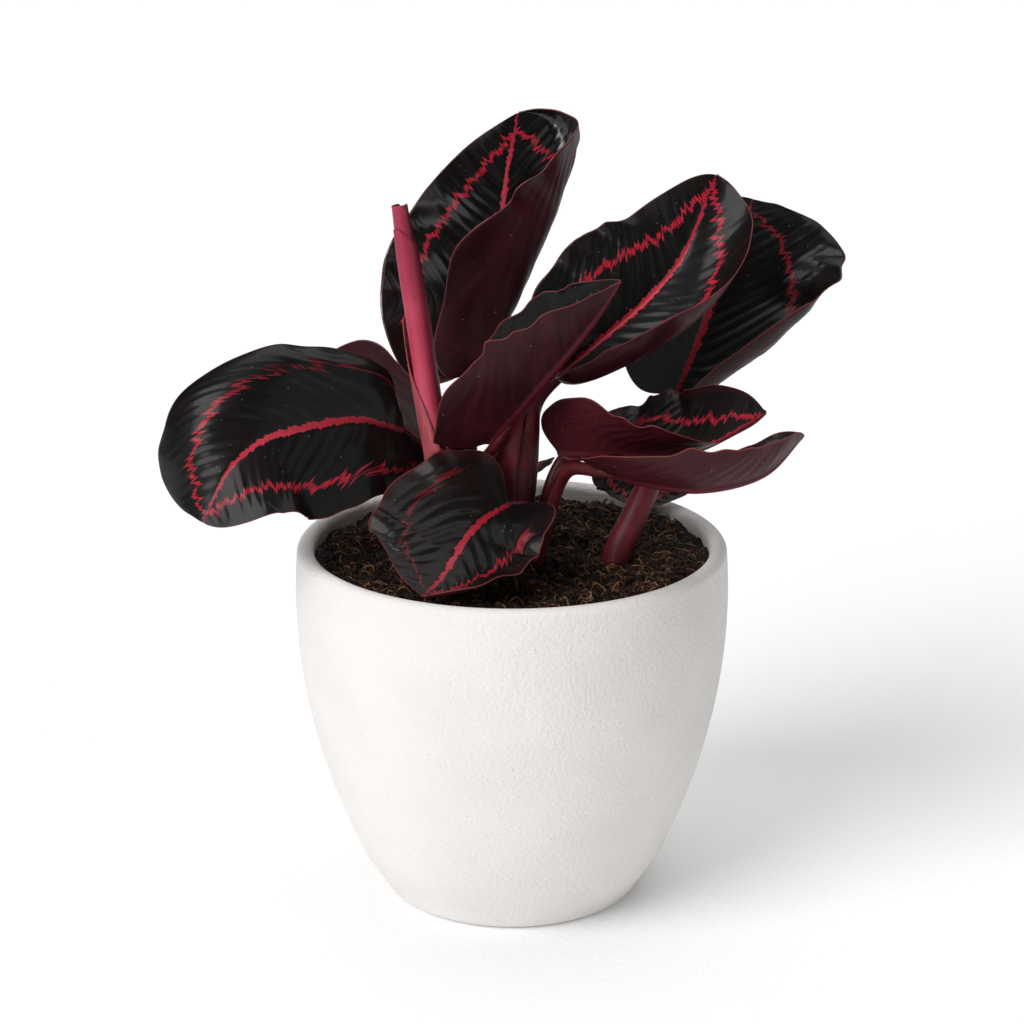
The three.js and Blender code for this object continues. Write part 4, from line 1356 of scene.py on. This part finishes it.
class CALATHEA_OT_stage(bpy.types.Operator):
    """Set the floor, the soft lights and the camera"""

    bl_idname = "calathea.stage"
    bl_label = "Stage"

    def execute(self, context):
        settings = context.scene.calathea_stage
        bm = bmesh.new()
        bmesh.ops.create_grid(bm, x_segments=1, y_segments=1, size=settings.floor_size / 2)
        mesh = bpy.data.meshes.new("floor")
        bm.to_mesh(mesh)
        bm.free()
        # Seamless studio paper: plain, white and matt.
        paper, tree = new_material("studio_paper_white")
        place = add_node(tree, "TexCoord", output="Object")
        fibre = add_node(tree, "TexNoise", {"Vector": place, "Scale": per_mm(2)})
        tone = add_node(tree, "ValToRGB", {"Fac": fibre}, stops=[(0, "fbfbfb"), (1, "ffffff")])
        faint = add_node(tree, "Math", {0: fibre, 1: 0.1}, operation="MULTIPLY")
        add_surface(tree, tone, 0.9, faint, {"Emission Color": "ffffff", "Emission Strength": 0.07})
        mesh.materials.append(paper)
        floor = bpy.data.objects.new("floor", mesh)
        context.scene.collection.objects.link(floor)

        target = Vector((0, 0, 137)) * MM
        lights = [
            ("key", (-1.5, -1.3, 1.5), 40, settings.key),
            ("fill", (1.7, -1.2, 0.8), 60, settings.fill),
            ("strip", (-0.96, -1.74, 0.3), 14, settings.strip),
            ("top", (0.1, 0.5, 1.9), 60, settings.top),
        ]
        for name, place, width, strength in lights:
            light = bpy.data.lights.new(name, "SUN")
            light.angle = math.radians(width)
            light.energy = strength
            lamp = bpy.data.objects.new(name, light)
            lamp.location = place
            lamp.rotation_euler = (target - lamp.location).to_track_quat("-Z", "Y").to_euler()
            context.scene.collection.objects.link(lamp)

        world = bpy.data.worlds.new("studio")
        world.use_nodes = True
        world.node_tree.nodes["Background"].inputs["Color"].default_value = linear("ffffff")
        world.node_tree.nodes["Background"].inputs["Strength"].default_value = settings.sky
        context.scene.world = world
        context.scene.view_settings.view_transform = "Standard"

        camera = bpy.data.cameras.new("camera")
        camera.lens = 96
        view = bpy.data.objects.new("camera", camera)
        elevation, distance = math.radians(17.7), 942 * MM
        view.location = target + Vector((0, -math.cos(elevation), math.sin(elevation))) * distance
        view.rotation_euler = (math.radians(90) - elevation, 0, 0)
        context.scene.collection.objects.link(view)
        context.scene.camera = view
        return {"FINISHED"}


class CALATHEA_PT_panel(bpy.types.Panel):
    """The pieces of the potted calathea, in the order in which they are made"""

    bl_idname = "CALATHEA_PT_panel"
    bl_label = "Potted calathea"
    bl_space_type = "VIEW_3D"
    bl_region_type = "UI"
    bl_category = "Calathea"

    def draw(self, context):
        for operator in OPERATORS:
            self.layout.operator(operator.bl_idname)
        for name, group in SETTINGS.items():
            box = self.layout.box()
            box.label(text=name)
            for key in group.__annotations__:
                box.prop(getattr(context.scene, name), key)


OPERATORS = (
    CALATHEA_OT_pot,
    CALATHEA_OT_mix,
    CALATHEA_OT_fibres,
    CALATHEA_OT_crumbs,
    CALATHEA_OT_stems,
    CALATHEA_OT_new_leaf,
    CALATHEA_OT_blades,
    CALATHEA_OT_stage,
)
SETTINGS = {
    "calathea_leaf": CalatheaLeafSettings,
    "calathea_stem": CalatheaStemSettings,
    "calathea_pot": CalatheaPotSettings,
    "calathea_mix": CalatheaMixSettings,
    "calathea_stage": CalatheaStageSettings,
}


def register():
    for kind in (*SETTINGS.values(), *OPERATORS, CALATHEA_PT_panel):
        bpy.utils.register_class(kind)
    for name, group in SETTINGS.items():
        setattr(bpy.types.Scene, name, PointerProperty(type=group))


def unregister():
    for name in SETTINGS:
        delattr(bpy.types.Scene, name)
    for kind in reversed((*SETTINGS.values(), *OPERATORS, CALATHEA_PT_panel)):
        bpy.utils.unregister_class(kind)


def main():
    register()
    bpy.ops.calathea.pot()
    bpy.ops.calathea.mix()
    bpy.ops.calathea.fibres()
    bpy.ops.calathea.crumbs()
    bpy.ops.calathea.stems()
    bpy.ops.calathea.new_leaf()
    bpy.ops.calathea.blades()
    bpy.ops.calathea.stage()


if __name__ == "__main__":
    main()
